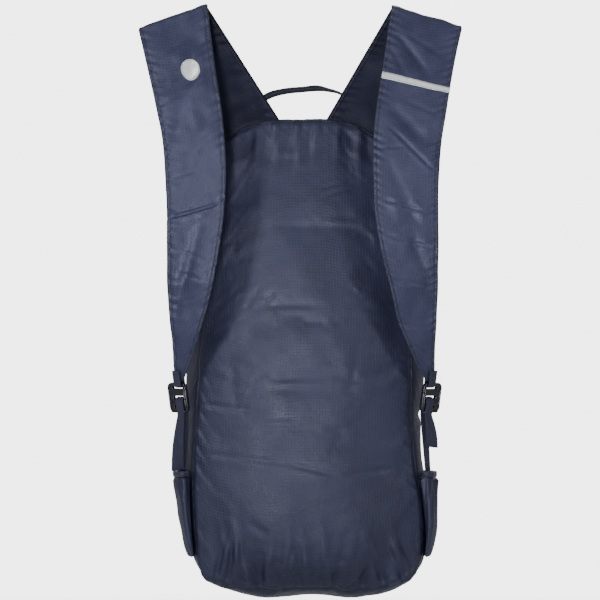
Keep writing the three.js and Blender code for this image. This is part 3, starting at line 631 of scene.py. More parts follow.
# %% Webbing, binding, thread, plastic and reflective film
def ribbed(name, dark, light, rib, roughness):
    bench = Bench(name)
    weave, across, along, _ = bench.cloth_place()
    rib_turn = 2 * math.pi / rib
    lengthwise = bench.math("SINE", bench.math("MULTIPLY", across, rib_turn))
    stagger = bench.math("MULTIPLY", bench.math("SIGN", lengthwise), rib * 0.35)
    shifted = bench.math("ADD", along, stagger)
    crosswise = bench.math("SINE", bench.math("MULTIPLY", shifted, rib_turn / 0.8))
    ribs = bench.math("MULTIPLY", bench.math("ADD", crosswise, 1), bench.math("ABSOLUTE", lengthwise))
    worn = bench.noise(weave, 140, 3)
    tone = bench.mix(bench.ramp(ribs, 0.1, 1.4), dark, light)
    tone = bench.mix(bench.ramp(worn, 0.5, 0.8, 0, 0.3), tone, tinted(light, 1.7))
    height = bench.math("MULTIPLY", ribs, 0.09 * mm)
    return bench.finish(tone, bench.ramp(worn, 0.3, 0.7, roughness - 0.07, roughness + 0.07), height,
                        Sheen_Weight=0.06, Sheen_Roughness=0.5, Specular_IOR_Level=0.3)


webbing_cloth = ribbed("webbing_navy", (0.011, 0.0125, 0.03, 1), (0.034, 0.037, 0.082, 1), 1.05 * mm, 0.55)
binding_cloth = ribbed("binding_navy", (0.006, 0.0075, 0.016, 1), (0.016, 0.019, 0.038, 1), 0.7 * mm, 0.65)


def thread_finish():
    bench = Bench("sewing_thread")
    where = bench.node("ShaderNodeTexCoord").outputs["Object"]
    twist = bench.noise(where, 2600, 1)
    tone = bench.mix(twist, (0.012, 0.015, 0.03, 1), (0.04, 0.046, 0.08, 1))
    return bench.finish(tone, 0.5, bench.math("MULTIPLY", twist, 0.05 * mm), Sheen_Weight=0.2)


def moulded_finish():
    bench = Bench("moulded_plastic")
    where = bench.node("ShaderNodeTexCoord").outputs["Object"]
    grain = bench.noise(where, 1800, 2)
    scuffs = bench.noise(where, 160, 5, 0.7)
    tone = bench.mix(bench.ramp(scuffs, 0.55, 0.8), (0.0045, 0.0055, 0.014, 1), (0.011, 0.013, 0.027, 1))
    rough = bench.ramp(scuffs, 0.35, 0.75, 0.17, 0.32)
    height = bench.math("MULTIPLY", grain, 0.02 * mm)
    return bench.finish(tone, rough, height, Coat_Weight=0.4, Coat_Roughness=0.15)


def film_finish():
    bench = Bench("reflective_film")
    weave = bench.cloth_place()[0]
    beads = bench.node("ShaderNodeTexVoronoi", None, Vector=weave, Scale=2600).outputs["Distance"]
    worn = bench.noise(weave, 210, 4, 0.65)
    tone = bench.mix(bench.ramp(worn, 0.45, 0.75), (0.79, 0.81, 0.83, 1), (0.6, 0.62, 0.66, 1))
    tone = bench.mix(bench.ramp(beads, 0, 0.6, 0.25, 0), tone, (0.5, 0.52, 0.56, 1))
    return bench.finish(tone, bench.ramp(worn, 0.3, 0.7, 0.3, 0.45), bench.math("MULTIPLY", beads, 0.03 * mm),
                        Metallic=0.25)


thread = thread_finish()
plastic = moulded_finish()
film = film_finish()
print("finishes in all:", len(bpy.data.materials))

# %% [markdown]
# ## Dressing the panels
# Each panel is made finer, given its folds and cut out as a shell of its own. Towards a seam the cloth turns
# in, so that two panels meet in a narrow groove, as they do when they are sewn from inside. A bevel on a
# solid bag would give the same soft edge all round, but no gathers that stop at the seam.

# %% Panels with gathers, folds and seams
half_wall = 0.4 * mm


def show(piece, material, slot, *replaced):
    piece.data.materials.append(material)
    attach(piece, "root")
    if replaced:
        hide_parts(*replaced)
    print(piece.name, "points:", len(piece.data.vertices))
    return piece


def towards_seam(away, proud, turn_in=1.5 * mm, reach=2.4 * mm):
    return proud - turn_in * np.exp(-((away / reach) ** 2))


print("cloth at a seam against the model's face, in millimetres:", round(towards_seam(0, 1.2 * mm) / mm, 2))

# %% Gathers and folds of the back panel
gathers = table("end across reach deep breadth drift", [
    (0, -0.86, 0.12, 0.030, 0.050, -0.06), (0, -0.71, 0.17, 0.026, 0.045, -0.06),
    (0, -0.55, 0.19, 0.040, 0.050, -0.13), (0, -0.36, 0.14, 0.020, 0.045, 0.05),
    (0, -0.19, 0.16, 0.024, 0.050, 0.03), (0, -0.02, 0.15, 0.022, 0.045, -0.04),
    (0, 0.16, 0.17, 0.024, 0.050, -0.05), (0, 0.36, 0.13, 0.018, 0.050, 0.02),
    (0, 0.62, 0.15, 0.024, 0.055, -0.16), (0, 0.82, 0.18, 0.032, 0.050, -0.14),
    (1, -0.76, 0.13, 0.020, 0.060, 0.08), (1, -0.50, 0.12, 0.018, 0.050, 0.05),
    (1, -0.28, 0.10, 0.014, 0.045, 0.02), (1, -0.06, 0.11, 0.016, 0.040, 0.02),
    (1, 0.14, 0.12, 0.016, 0.045, -0.02), (1, 0.36, 0.10, 0.014, 0.050, -0.03),
    (1, 0.62, 0.13, 0.020, 0.060, -0.06),
])
# each fold has its start and end in the picture's pixels, then its depth and breadth in millimetres
back_folds = [
    (318, 190, 342, 183, 0.7, 2.6), (324, 197, 352, 188, 0.8, 2.6),
    (244, 312, 262, 284, 1.1, 4.0), (254, 314, 277, 289, 1.0, 3.6),
    (196, 403, 256, 411, 1.5, 3.6), (198, 452, 296, 464, 0.9, 4.2), (284, 462, 344, 476, 1.0, 4.0),
    (336, 476, 400, 467, 0.8, 4.2), (246, 520, 272, 536, 1.2, 6.0),
    (212, 594, 228, 530, 3.0, 4.0), (226, 596, 236, 528, 3.4, 4.2), (246, 600, 240, 530, 3.6, 4.4),
    (262, 600, 262, 545, 2.4, 3.8), (284, 600, 291, 545, 2.2, 3.8), (307, 600, 298, 548, 2.4, 4.0),
    (331, 600, 318, 550, 2.0, 3.8), (356, 598, 346, 556, 1.6, 4.0), (394, 600, 366, 546, 3.2, 4.4),
    (410, 594, 384, 540, 3.2, 4.2), (422, 584, 398, 536, 2.6, 4.0),
    (212, 200, 222, 300, 0.7, 5.0), (360, 330, 348, 402, 0.7, 6.0), (230, 350, 238, 420, 0.6, 5.5),
]


def gather_lift(rows, cols):
    height, width = np.linspace(0, 1, rows)[:, None], np.interp(
        np.linspace(0, 1, cols), np.linspace(0, 1, len(across)), across)[None]
    lift = np.zeros((rows, cols))
    for row in gathers:
        away = np.clip(abs(height - row["end"]) / row["reach"], 0, 1)
        off = (width - row["across"] - row["drift"] * away) / row["breadth"]
        lift += row["deep"] * np.sin(math.pi * np.sqrt(away)) * np.exp(-off ** 2)
    return lift * depth


print("folds laid by hand on the back:", len(back_folds), "gathers:", len(gathers))


# %% Dress the five large panels
def dressed(name, folds=(), seed=1, lift=None, times=2):
    grid = finer(panels[name], times)
    places = cloth_places(grid)
    run = places[..., 0] + places[..., 1]
    relief = rumple(grid, 62 * mm, 0.45 * mm, seed) + rumple(grid, 24 * mm, 0.1 * mm, seed + 1)
    relief += creases_at(grid, folds)
    relief += puckers(run, places[..., 2], 13 * mm, 0.6 * mm, 11 * mm, seed + 2)
    relief *= np.clip(places[..., 2] / (6 * mm), 0, 1)
    if name in ("back_panel", "front_panel", "base_panel"):
        pleat_height = 0.8 * mm if name == "base_panel" else 3.8 * mm
        relief += pleats(grid[..., 0], places[..., 1], 15 * mm, pleat_height, 30 * mm, 7)
    if name in ("back_panel", "front_panel"):
        relief += pleats(grid[..., 0], places[-1:, :, 1] - places[..., 1], 12 * mm, 1.6 * mm, 26 * mm, 8)
    if lift is not None:
        relief += lift(*grid.shape[:2])
    proud = towards_seam(places[..., 2], 1.2 * mm)
    return shell(name + "_cloth", grid, facing[name], proud + relief, proud + relief - 2 * half_wall, places)


back = show(dressed("back_panel", back_folds, 3, gather_lift, 3), body_cloth, "ripstop", "back_panel")
front = show(dressed("front_panel", (), 13), body_cloth, "ripstop", "front_panel")
base = show(dressed("base_panel", (), 23), body_cloth, "ripstop", "base_panel")
left_side = show(dressed("gusset_left", (), 33), body_cloth, "ripstop", "gusset_left")
right_side = show(dressed("gusset_right", (), 43), body_cloth, "ripstop", "gusset_right")

# %% [markdown]
# ## Top of the bag
# The top gusset is one strip with the zip sewn into it. The strip is cut at the zip's two sides, so that the
# tape lies between two folded edges. The zip itself is a woven tape with a coil on it: a row of small loops,
# one thread bent over and over, which an array in code makes in the right number for its length.

# %% Two top strips beside the zip
zip_place, zip_width, zip_reach = 0.52, 8 * mm, 0.9


def part_of_top(name, start, end, node):
    first, last = (round(share * steps_deep) for share in (start, end))
    grid = finer(panels["top_gusset"][first:last + 1], 3)
    places = cloth_places(grid)
    relief = rumple(grid, 30 * mm, 0.25 * mm, 53) * np.clip(places[..., 2] / (4 * mm), 0, 1)
    relief += puckers(places[..., 0], places[..., 2], 9 * mm, 0.7 * mm, 6 * mm, 54)
    proud = towards_seam(places[..., 2], 1.3 * mm, 1.2 * mm, 1.6 * mm)
    piece = shell(name, grid, (0, 0, 1), proud + relief, proud + relief - 2 * half_wall, places)
    return show(piece, body_cloth, "ripstop", node)


part_of_top("top_gusset_rear_cloth", 0, 0.4445, "top_gusset_rear")
part_of_top("top_gusset_front_cloth", 0.6111, 1, "top_gusset_front")

# %% [markdown]
# ### Ribbons and tubes
# Tapes and threads have the same section all along. Blender's curves can carry a section too, but a tape has
# to turn in a chosen way at each point, and its weave has to know its length. So a ribbon is a grid about a
# middle line, and a tube is a row of rings, both from the same kind of list of points.

# %% Ribbons and tubes
def ribbon(name, middle, across_way, width, thick, towards, columns=9):
    c = np.linspace(-1, 1, columns)
    half = np.broadcast_to(width, len(middle))[:, None, None] / 2
    grid = middle[:, None] + across_way[:, None] * c[None, :, None] * half
    outer = np.broadcast_to(np.sqrt(np.clip(1 - abs(c) ** 8, 0.06, 1)) * thick / 2, grid.shape[:2])
    return shell(name, grid, towards, outer, -outer, cloth_places(grid, "lr"))


def ring_points(path, wide, thick, sides, up, square):
    path = np.asarray(path, float)
    ahead = np.gradient(path, axis=0)
    ahead /= np.linalg.norm(ahead, axis=1, keepdims=True)
    side = np.cross(ahead, np.array(up, float))
    side /= np.maximum(np.linalg.norm(side, axis=1, keepdims=True), 1e-9)
    top = np.cross(side, ahead)
    angle = np.linspace(0, 2 * math.pi, sides, endpoint=False)
    first, second = (np.sign(x) * abs(x) ** (2 / square) for x in (np.cos(angle), np.sin(angle)))
    wide, thick = (np.broadcast_to(x, len(path))[:, None, None] / 2 for x in (wide, thick))
    sideways, upward = first[None, :, None] * wide, second[None, :, None] * thick
    return path[:, None] + side[:, None] * sideways + top[:, None] * upward


def tube(path, wide, thick, sides=6, up=(0, 0, 1), square=2):
    rings = ring_points(path, wide, thick, sides, up, square)
    at = np.arange(rings.shape[0] * sides).reshape(-1, sides)
    turn = np.roll(at, -1, axis=1)
    wall = np.stack([at[:-1], at[1:], turn[1:], turn[:-1]], -1).reshape(-1, 4)
    lids = np.array([[i, i + 1, sides - i - 2, sides - i - 1] for i in range(sides // 2 - 1)])
    return rings.reshape(-1, 3), np.concatenate([wall, at[0][lids], at[-1][lids][:, ::-1]])


def joined(name, parts):
    starts = np.cumsum([0] + [len(points) for points, _ in parts])
    quads = [part[1] + start for part, start in zip(parts, starts)]
    return plain_mesh(name, np.concatenate([part[0] for part in parts]), np.concatenate(quads))


print("points in a round tube of three rings:", len(tube([(0, 0, 0), (0, 1, 0), (0, 2, 0)], 1, 1)[0]))

# %% [markdown]
# ### Thread
# A sewing machine leaves a row of short stitches, each sunk at both ends. They could be painted on as dashes,
# which would look flat where light grazes them. Each is a small bent tube here, so a row of them catches
# light like thread, and one helper lays a row along any line on any cloth.

# %% A row of stitches
def along_line(line, run, at):
    return np.stack([np.interp(at, run, line[:, k]) for k in range(3)], -1)


def stitch_row(line, outward, pitch=3.1 * mm, thick=0.5 * mm):
    run = lengths(line[:, None], 0)[:, 0]
    count = max(1, int(run[-1] // pitch))
    start = (run[-1] - count * pitch) / 2
    rows = []
    for i in range(count):
        at = start + (i + 0.5 + np.array([-0.4, -0.28, 0, 0.28, 0.4])) * pitch
        rise = np.array([-0.3, 0.1, 0.2, 0.1, -0.3])[:, None] * mm
        way = along_line(outward, run, at)
        rows.append(tube(along_line(line, run, at) + way * rise, thick, thick, 6, way[2]))
    return rows


seam_end = np.array([[0, 0, 0], [50 * mm, 0, 0]])
print("stitches in fifty millimetres of seam:", len(stitch_row(seam_end, np.tile([0.0, -1.0, 0.0], (2, 1)))))

# %% [markdown]
# ### Zip
# The tape runs from side seam to side seam, and the coil stops a little before them. The coil could be a
# picture of stripes, but it stands proud and catches light, so each loop is a small bent tube. The slider is
# die cast or moulded with soft edges, so it is a few bevelled blocks, with its pull lying back over the tape.

# %% Zip tape
def top_line(share, w):
    return top_surface(np.asarray(share, float), np.full(np.shape(share), float(w)))


tape_lift, tape_reach, tape_rows = np.array([0, 0, 1.0 * mm]), 0.985, 100
tape_middle = top_line(np.linspace(-tape_reach, tape_reach, tape_rows), zip_place) + tape_lift
tape_across = np.tile([0.0, 1.0, 0.0], (tape_rows, 1))
tape = ribbon("zip_tape", tape_middle, tape_across, zip_width, 0.8 * mm, (0, 0, 1), 13)
show(tape, binding_cloth, "zip_tape", "main_zip")


# %% Zip coil
def zip_coil(pitch=1.4 * mm):
    line = top_line(np.linspace(-zip_reach, zip_reach, 360), zip_place) + tape_lift
    run = lengths(line[:, None], 0)[:, 0]
    bend = np.linspace(-0.6, 3.7, 6)
    loops = []
    for i in range(int(run[-1] / pitch)):
        for side in (-1, 1):
            place = along_line(line, run, (i + 0.5 + 0.25 * side) * pitch)
            sideways = side * (0.7 * mm + 1.0 * mm * np.cos(bend))
            bent = np.stack([0.15 * mm * np.sin(bend), sideways, 0.75 * mm + 0.55 * mm * np.sin(bend)], -1)
            loops.append(tube(place + bent, 0.68 * mm, 0.68 * mm, 6, (1, 0, 0)))
    print("loops of the coil:", len(loops))
    return joined("zip_coil", loops)


# %% Zip slider
def block(size, place, round_off, taper=1.0):
    work = bmesh.new()
    bmesh.ops.create_cube(work, size=1)
    for corner in work.verts:
        corner.co = Vector([a * b for a, b in zip(corner.co, size)])
        if corner.co.x > 0:
            corner.co.y *= taper
    bmesh.ops.bevel(work, geom=work.edges[:], offset=round_off, segments=3, profile=0.6, affect="EDGES")
    bmesh.ops.translate(work, verts=work.verts, vec=place)
    return work


def moulded_piece(name, works):
    mesh = bpy.data.meshes.new(name)
    whole = bmesh.new()
    for work in works:
        work.to_mesh(mesh)
        whole.from_mesh(mesh)
        work.free()
    whole.to_mesh(mesh)
    whole.free()
    mesh.shade_smooth()
    piece = bpy.data.objects.new(name, mesh)
    bpy.context.scene.collection.objects.link(piece)
    return piece


def slider():
    low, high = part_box("zip_slider")
    middle = (low + high) / 2
    before, after = 0.8, 0.88
    fall = top_line(before, zip_place)[2] - top_line(after, zip_place)[2]
    slope = math.atan2(fall, (after - before) * top_half_width)
    works = [
        block((12.5 * mm, 8.2 * mm, 2.2 * mm), (0, 0, -0.4 * mm), 0.7 * mm, 0.72),
        block((9 * mm, 2 * mm, 1.4 * mm), (-0.5 * mm, 0, 1.9 * mm), 0.45 * mm),
        block((1.8 * mm, 2 * mm, 2 * mm), (-4.2 * mm, 0, 1 * mm), 0.4 * mm),
        block((1.8 * mm, 2 * mm, 2 * mm), (3.2 * mm, 0, 1 * mm), 0.4 * mm),
        block((15 * mm, 4.6 * mm, 1.1 * mm), (-8.5 * mm, 0.4 * mm, 3.0 * mm), 0.4 * mm, 0.6),
    ]
    piece = moulded_piece("zip_slider_with_pull", works)
    piece.location = middle
    piece.rotation_euler = (0, slope, 0)
    return piece


show(zip_coil(), plastic, "plastic")
show(slider(), plastic, "plastic", "zip_slider")

# %% [markdown]
# ## Shoulder straps
# A strap here is two layers of cloth, sewn flat, wide at the shoulder and drawn to a point at its buckle.
# Both hang folded over at the top: the rear leg is sewn in the top seam, and the front leg faces the viewer.
# Each is made as one long grid from its root over the fold to its end. A simulation would let it fall, and
# the photograph shows it held up, so the folds are laid one by one.

# %% Strap tables
strap_width, strap_thick = 68 * mm, 2.4 * mm
strap_root, strap_stand, strap_drop = 20 * mm, 52 * mm, 340.5 * mm
fold_height, fold_radius, fold_flatness = top_seam + 95.5 * mm, 5.8 * mm, 0.35
root_overlap = 2.5 * mm  # the root reaches this far below and behind the top seam

left_strap = table("down outer wide tilt stand turn", [
    (0.00, 1.502, 0.957, 0.32, 0.22, 0.000), (0.06, 1.460, 0.935, 0.24, 0.36, 0.020),
    (0.15, 1.400, 0.912, 0.12, 0.56, 0.070), (0.24, 1.339, 0.897, 0.03, 0.74, 0.120),
    (0.34, 1.277, 0.860, 0.00, 0.89, 0.160), (0.44, 1.250, 0.835, 0.00, 0.98, 0.190),
    (0.54, 1.236, 0.790, 0.00, 1.00, 0.200), (0.64, 1.236, 0.720, 0.00, 0.97, 0.200),
    (0.74, 1.231, 0.620, 0.00, 0.87, 0.200), (0.81, 1.217, 0.506, 0.00, 0.73, 0.210),
    (0.87, 1.199, 0.390, 0.00, 0.57, 0.215), (0.94, 1.180, 0.245, 0.00, 0.385, 0.185),
    (1.00, 1.170, 0.118, 0.00, 0.28, 0.106),
])
right_strap = table("down outer wide tilt stand turn", [
    (0.00, 1.451, 0.975, 0.29, 0.22, 0.000), (0.06, 1.410, 0.967, 0.22, 0.36, 0.020),
    (0.15, 1.357, 0.960, 0.12, 0.56, 0.050), (0.24, 1.313, 0.973, 0.03, 0.74, 0.090),
    (0.34, 1.261, 0.947, 0.00, 0.89, 0.120), (0.44, 1.234, 0.907, 0.00, 0.98, 0.150),
    (0.54, 1.229, 0.874, 0.00, 1.00, 0.170), (0.64, 1.227, 0.791, 0.00, 0.97, 0.180),
    (0.74, 1.227, 0.666, 0.00, 0.87, 0.190), (0.81, 1.217, 0.568, 0.00, 0.73, 0.220),
    (0.87, 1.212, 0.462, 0.00, 0.57, 0.230), (0.94, 1.201, 0.285, 0.00, 0.42, 0.200),
    (1.00, 1.200, 0.118, 0.00, 0.28, 0.106),
])
straps = {"left": (left_strap, -1), "right": (right_strap, 1)}
print("rows in the strap tables:", len(left_strap), len(right_strap))


# %% The strap's middle surface
def strap_front(name, c, down):
    rows, side = straps[name]
    outer, wide, tilt, stand, turn = (smooth(rows, "down", key)(down) for key in
                                      ("outer", "wide", "tilt", "stand", "turn"))
    share = (1 - c) / 2
    x = outer * half_back - (1 - share) * wide * strap_width
    y = seat - stand * strap_stand + (share - 0.5) * turn * strap_width
    z = fold_height - down * strap_drop + (0.5 - share) * tilt * strap_width
    return np.stack([side * x, y, z], -1)


def strap_surface(name, c, place):
    side = straps[name][1]
    share = (1 - c) / 2
    folded = strap_front(name, c, 0 * place)
    front_leg = strap_front(name, c, np.clip(place - 2, 0, 1))
    angle = math.pi * np.clip(place - 1, 0, 1)
    fold_back, fold_up = fold_radius * (1 + np.cos(angle)), fold_flatness * fold_radius * np.sin(angle)
    over = folded + np.stack([0 * angle, fold_back, fold_up], -1)
    root_x = strap_root + 0.94 * strap_width * share
    root_z = top_seam - corner_drop * (root_x / top_half_width) ** 3.5 - root_overlap
    root = np.stack([side * root_x, seat + root_overlap + 0 * root_x, root_z], -1)
    top = folded + np.array([0, 2 * fold_radius, 0])
    rise = np.clip(place, 0, 1)[..., None]
    rear = root + (top - root) * rise
    where = place[..., None]
    return np.where(where <= 1, rear, np.where(where <= 2, over, front_leg))


# %% Straps with their folds
strap_places = np.concatenate([np.linspace(0, 1, 70), np.linspace(1, 2, 13)[1:], np.linspace(2, 3, 340)[1:]])
strap_columns = np.sin(np.linspace(-1, 1, 47) * 1.3) / np.sin(1.3)
# columns as for the folds of the back
strap_folds = {
    "left": [
        (156, 223, 230, 202, 2.2, 2.6), (184, 158, 208, 130, 1.1, 3.4), (178, 250, 210, 262, 0.9, 2.8),
        (176, 272, 208, 281, 0.8, 2.6), (150, 66, 196, 34, 0.8, 4.2), (152, 112, 190, 92, 0.9, 3.4),
        (168, 182, 196, 172, 0.6, 2.4), (172, 306, 200, 296, 0.8, 2.6), (172, 338, 190, 330, 0.7, 2.2),
        (196, 90, 224, 66, 0.7, 3.0), (200, 30, 172, 150, 2.6, 9.0), (212, 120, 176, 200, 2.4, 8.0),
        (170, 100, 204, 70, 2.0, 7.0), (206, 210, 180, 300, 2.2, 8.0), (196, 240, 172, 330, 1.8, 7.0),
    ],
    "right": [
        (384, 124, 438, 177, 2.4, 2.4), (374, 198, 432, 215, 1.1, 2.8), (380, 234, 436, 250, 1.1, 2.8),
        (386, 279, 436, 287, 1.0, 2.6), (392, 322, 434, 330, 0.9, 2.4), (390, 26, 428, 76, 1.0, 3.4),
        (386, 40, 414, 96, 0.9, 3.2), (398, 30, 448, 62, 0.8, 3.4), (372, 150, 410, 148, 0.7, 2.6),
        (404, 346, 434, 350, 0.7, 2.0), (400, 100, 440, 118, 0.8, 3.0), (388, 20, 432, 86, 2.4, 8.0),
        (384, 100, 430, 150, 2.4, 8.0), (380, 150, 424, 240, 2.4, 8.0), (400, 200, 432, 300, 2.0, 8.0),
    ],
}


def strap_grid(name):
    c, place = np.meshgrid(strap_columns, strap_places)
    return strap_surface(name, c, place)


def strap_relief(name, grid, places, seed):
    front_leg = np.clip((strap_places - 2.02) / 0.05, 0, 1)[:, None]
    relief = rumple(grid, 55 * mm, 0.7 * mm, seed, (1, 1, 1.6)) + rumple(grid, 20 * mm, 0.24 * mm, seed + 1)
    relief += creases_at(grid, strap_folds[name]) * front_leg
    relief += puckers(places[..., 1], places[..., 2], 9 * mm, 0.65 * mm, 8 * mm, seed + 2)
    relief -= 0.45 * mm * np.exp(-(((places[..., 2] - stitch_inset) / (0.9 * mm)) ** 2))
    ending = np.clip((3 - strap_places) / 0.05, 0, 1)[:, None] * np.clip(strap_places / 0.05, 0, 1)[:, None]
    return relief * ending


strap_grids = {}
for name, seed in (("left", 61), ("right", 71)):
    grid = strap_grid(name)
    places = cloth_places(grid, "lr")
    relief = strap_relief(name, grid, places, seed)
    rounded = np.sqrt(np.clip(1 - np.exp(-places[..., 2] / (0.9 * mm)), 0.04, 1)) * strap_thick / 2
    piece = shell(f"strap_{name}_cloth", grid, (0, -1, 0), rounded + relief, relief - rounded, places)
    piece.data.materials.append(strap_cloth)
    # painted shade: the underside layer takes the darker underside ripstop, which paints the shade on the
    # rear legs
    under = np.zeros(len(piece.data.polygons), np.int32)
    layer = (len(strap_places) - 1) * (len(strap_columns) - 1)
    under[layer:2 * layer] = 1
    piece.data.polygons.foreach_set("material_index", under)
    facing_viewer = outward_of(grid, (0, -1, 0))
    strap_grids[name] = (grid, facing_viewer, rounded + relief, relief - rounded, places)
    show(piece, strap_underside_painted_shade, "strap_ripstop", f"strap_{name}")

# %% [markdown]
# ### Stitching round the straps
# Both layers are sewn together a few millimetres inside the edge, on the front and on the underside. The seam
# pulls a shallow groove, which the strap's relief already has. The row is found on the finished surface, by
# reading the strap's grid at a place across and along, so it lies in that groove over every fold.

# %% Stitching round the straps
def on_strap(name, c, place, lift=0.0):
    grid, normal, outer, inner, _ = strap_grids[name]
    face = inner if lift < 0 else outer
    points = grid + normal * (face + lift)[..., None]
    row = np.interp(place, strap_places, np.arange(len(strap_places)))
    col = np.interp(c, strap_columns, np.arange(len(strap_columns)))
    i, j = np.minimum(row.astype(int), grid.shape[0] - 2), np.minimum(col.astype(int), grid.shape[1] - 2)
    a, b = (row - i)[..., None], (col - j)[..., None]

    def read(field):
        low = field[i, j] * (1 - b) + field[i, j + 1] * b
        return low * (1 - a) + (field[i + 1, j] * (1 - b) + field[i + 1, j + 1] * b) * a

    return read(points), read(normal)


def strap_stitching(name):
    grid = strap_grids[name][0]
    width = lengths(grid, 1)[:, -1]
    inset = np.minimum(stitch_inset, 0.3 * width)
    place = strap_places[2:-2]
    rows = []
    for edge in (-1, 1):
        c = edge * (1 - 2 * inset / width)[2:-2]
        for lift in (0.05 * mm, -0.05 * mm):
            line, normal = on_strap(name, c, place, lift)
            rows += stitch_row(line, normal * np.sign(lift))
    print("stitches round the strap:", len(rows))
    return rows


for name in straps:
    show(joined(f"strap_{name}_stitching", strap_stitching(name)), thread, "strap_ripstop")

# %% [markdown]
# ### Reflective tape and dot
# Both are a thin film on woven tape, sewn flat on the strap. They could be a patch of the strap's own colour,
# but film lies on top and shows an edge. So each is a thin shell that follows the strap's folds, with a row
# of dark stitches just inside its edge.

# %% Reflective tape and dot
def on_top(name, c, place, thick, seams):
    points, normal = on_strap(name, c, place)
    lifted = points + normal * 0.15 * mm
    piece = shell(name + "_film", lifted, (0, -1, 0), thick, 0, cloth_places(points, seams))
    return piece, points + normal * (thick + 0.15 * mm), normal


c, s = np.meshgrid(np.linspace(-0.985, 0.985, 70), np.linspace(-1, 1, 9))
band_width, band_down, band_slant = 5.5 * mm, 0.181, 0.013
band_place = 2 + band_down - band_slant * c + s * band_width / strap_drop / 2
band, band_face, band_normal = on_top("right", c, band_place, 0.5 * mm, "bt")
band.name = "reflective_band_film"
show(band, film, "reflective", "reflective_band")

u, v = np.meshgrid(np.linspace(-1, 1, 33), np.linspace(-1, 1, 33))
dot_size, dot_down, dot_across = 19 * mm, 0.147, 0.26
dot_c = dot_across + u * np.sqrt(1 - v * v / 2) * dot_size / strap_width
dot_place = 2 + dot_down + v * np.sqrt(1 - u * u / 2) * dot_size / strap_drop / 2
dot, dot_face, dot_normal = on_top("left", dot_c, dot_place, 0.5 * mm, "lrbt")
dot.name = "reflective_dot_film"
show(dot, film, "reflective", "reflective_dot")


def just_inside_the_rim(field):
    return np.concatenate([field[2, 2:-2], field[2:-2, -3], field[-3, -3:1:-1], field[-3:1:-1, 2]])


rows = []
for row in (1, -2):
    rows += stitch_row(band_face[row], band_normal[row], 2.6 * mm, 0.4 * mm)
rows += stitch_row(just_inside_the_rim(dot_face), just_inside_the_rim(dot_normal), 2.4 * mm, 0.4 * mm)
show(joined("film_stitching", rows), thread, "reflective")

# %% [markdown]
# ## Side pockets
# Each pocket is one piece of the same cloth, fuller than the gusset behind it and drawn together at its mouth
# by a narrow hem. The fullness shows as small pleats under the hem. They are made as waves that die away from
# the hem, which is cheaper than simulating two more cloths and puts the pleats where the photograph has them.

# %% Pockets
cloth_wall, seam_gap = 1.5 * mm, 0.3 * mm
pocket_foot, pocket_mouth, pocket_bulge, pocket_puff = 0.055, 0.243, 9 * mm, 14 * mm
side_seam = 450 * mm - corner_drop
hem_height, gap_height = 6 * mm / side_seam, seam_gap / side_seam


def pocket_surface(side, up, turn):
    angle = math.pi * turn
    open_share = np.clip((up - pocket_foot) / (pocket_mouth - pocket_foot), 0, 1.1) ** 0.45
    point = gusset_surface(side, up, (1 - np.cos(angle)) / 2)
    off = cloth_wall + 2 * seam_gap + pocket_bulge * open_share * np.sqrt(np.clip(np.sin(angle), 0, 1))
    point[..., 0] += side * off
    point[..., 1] -= pocket_puff * open_share * np.sin(2 * angle)
    return point


half_turn = np.linspace(0, 1, 91)
pocket_turns = 0.005 + 0.99 * (0.45 * half_turn + 0.55 * (0.5 - 0.5 * np.cos(math.pi * half_turn)))
for name, side, seed in (("left", -1, 83), ("right", 1, 93)):
    rows = pocket_foot + (pocket_mouth - pocket_foot) * np.linspace(0, 1, 64) ** 1.25
    grid = laid(lambda turn, up: pocket_surface(side, up, turn), pocket_turns, rows)
    places = cloth_places(grid)
    below_hem = places[-1:, :, 1] - places[..., 1]
    relief = puckers(places[..., 0], below_hem + 1.5 * mm, 10 * mm, 2.2 * mm, 26 * mm, seed)
    relief += puckers(places[..., 0], places[..., 1], 13 * mm, 1.6 * mm, 18 * mm, seed + 1)
    relief += rumple(grid, 40 * mm, 0.5 * mm, seed + 2)
    relief *= np.clip(places[..., 2] / (3 * mm), 0.15, 1)
    face = 1.2 * mm + np.maximum(relief, -0.6 * mm)
    pocket = shell(f"pocket_{name}_cloth", grid, (side, 0, 0), face, face - 2 * half_wall, places)
    show(pocket, body_cloth, "ripstop", f"pocket_{name}")

    rows = pocket_mouth + gap_height + np.linspace(0, hem_height, 15)
    grid = laid(lambda turn, up: pocket_surface(side, up, turn), pocket_turns, rows)
    places = cloth_places(grid, "bt")
    relief = puckers(places[..., 0], places[..., 2] + 1 * mm, 8 * mm, 0.6 * mm, 9 * mm, seed + 3)
    groove = sum(np.exp(-(((places[..., 1] - at) / (0.5 * mm)) ** 2)) for at in (1.2 * mm, 4.8 * mm))
    plump = np.sqrt(np.clip(1 - np.exp(-places[..., 2] / (0.7 * mm)), 0.05, 1))
    face = 0.9 * mm + plump * 1.1 * mm + relief - 0.25 * mm * groove
    inside = 0.9 * mm - plump * 1.0 * mm + relief
    hem = shell(f"pocket_hem_{name}_cloth", grid, (side, 0, 0), face, inside, places)
    show(hem, body_cloth, "binding", f"pocket_hem_{name}")
    normal = outward_of(grid, (side, 0, 0))
    top = grid + normal * face[..., None]
    sewn = []
    for row in (3, 11):
        sewn += stitch_row(top[row, 1:-1], normal[row, 1:-1], 2.9 * mm, 0.45 * mm)
    show(joined(f"pocket_{name}_stitching", sewn), thread, "binding")

# %% [markdown]
# ## Buckles and webbing
# A ladder lock is a flat plastic frame with three slots: the strap's loop holds its top bar, and the webbing
# runs up behind it, over a bar and down in front, where friction holds it. It is drawn as a flat outline with
# holes and thickened with a round edge, because the real one is moulded with the same rounding everywhere.
# Bars for grip and a lip are added on top.

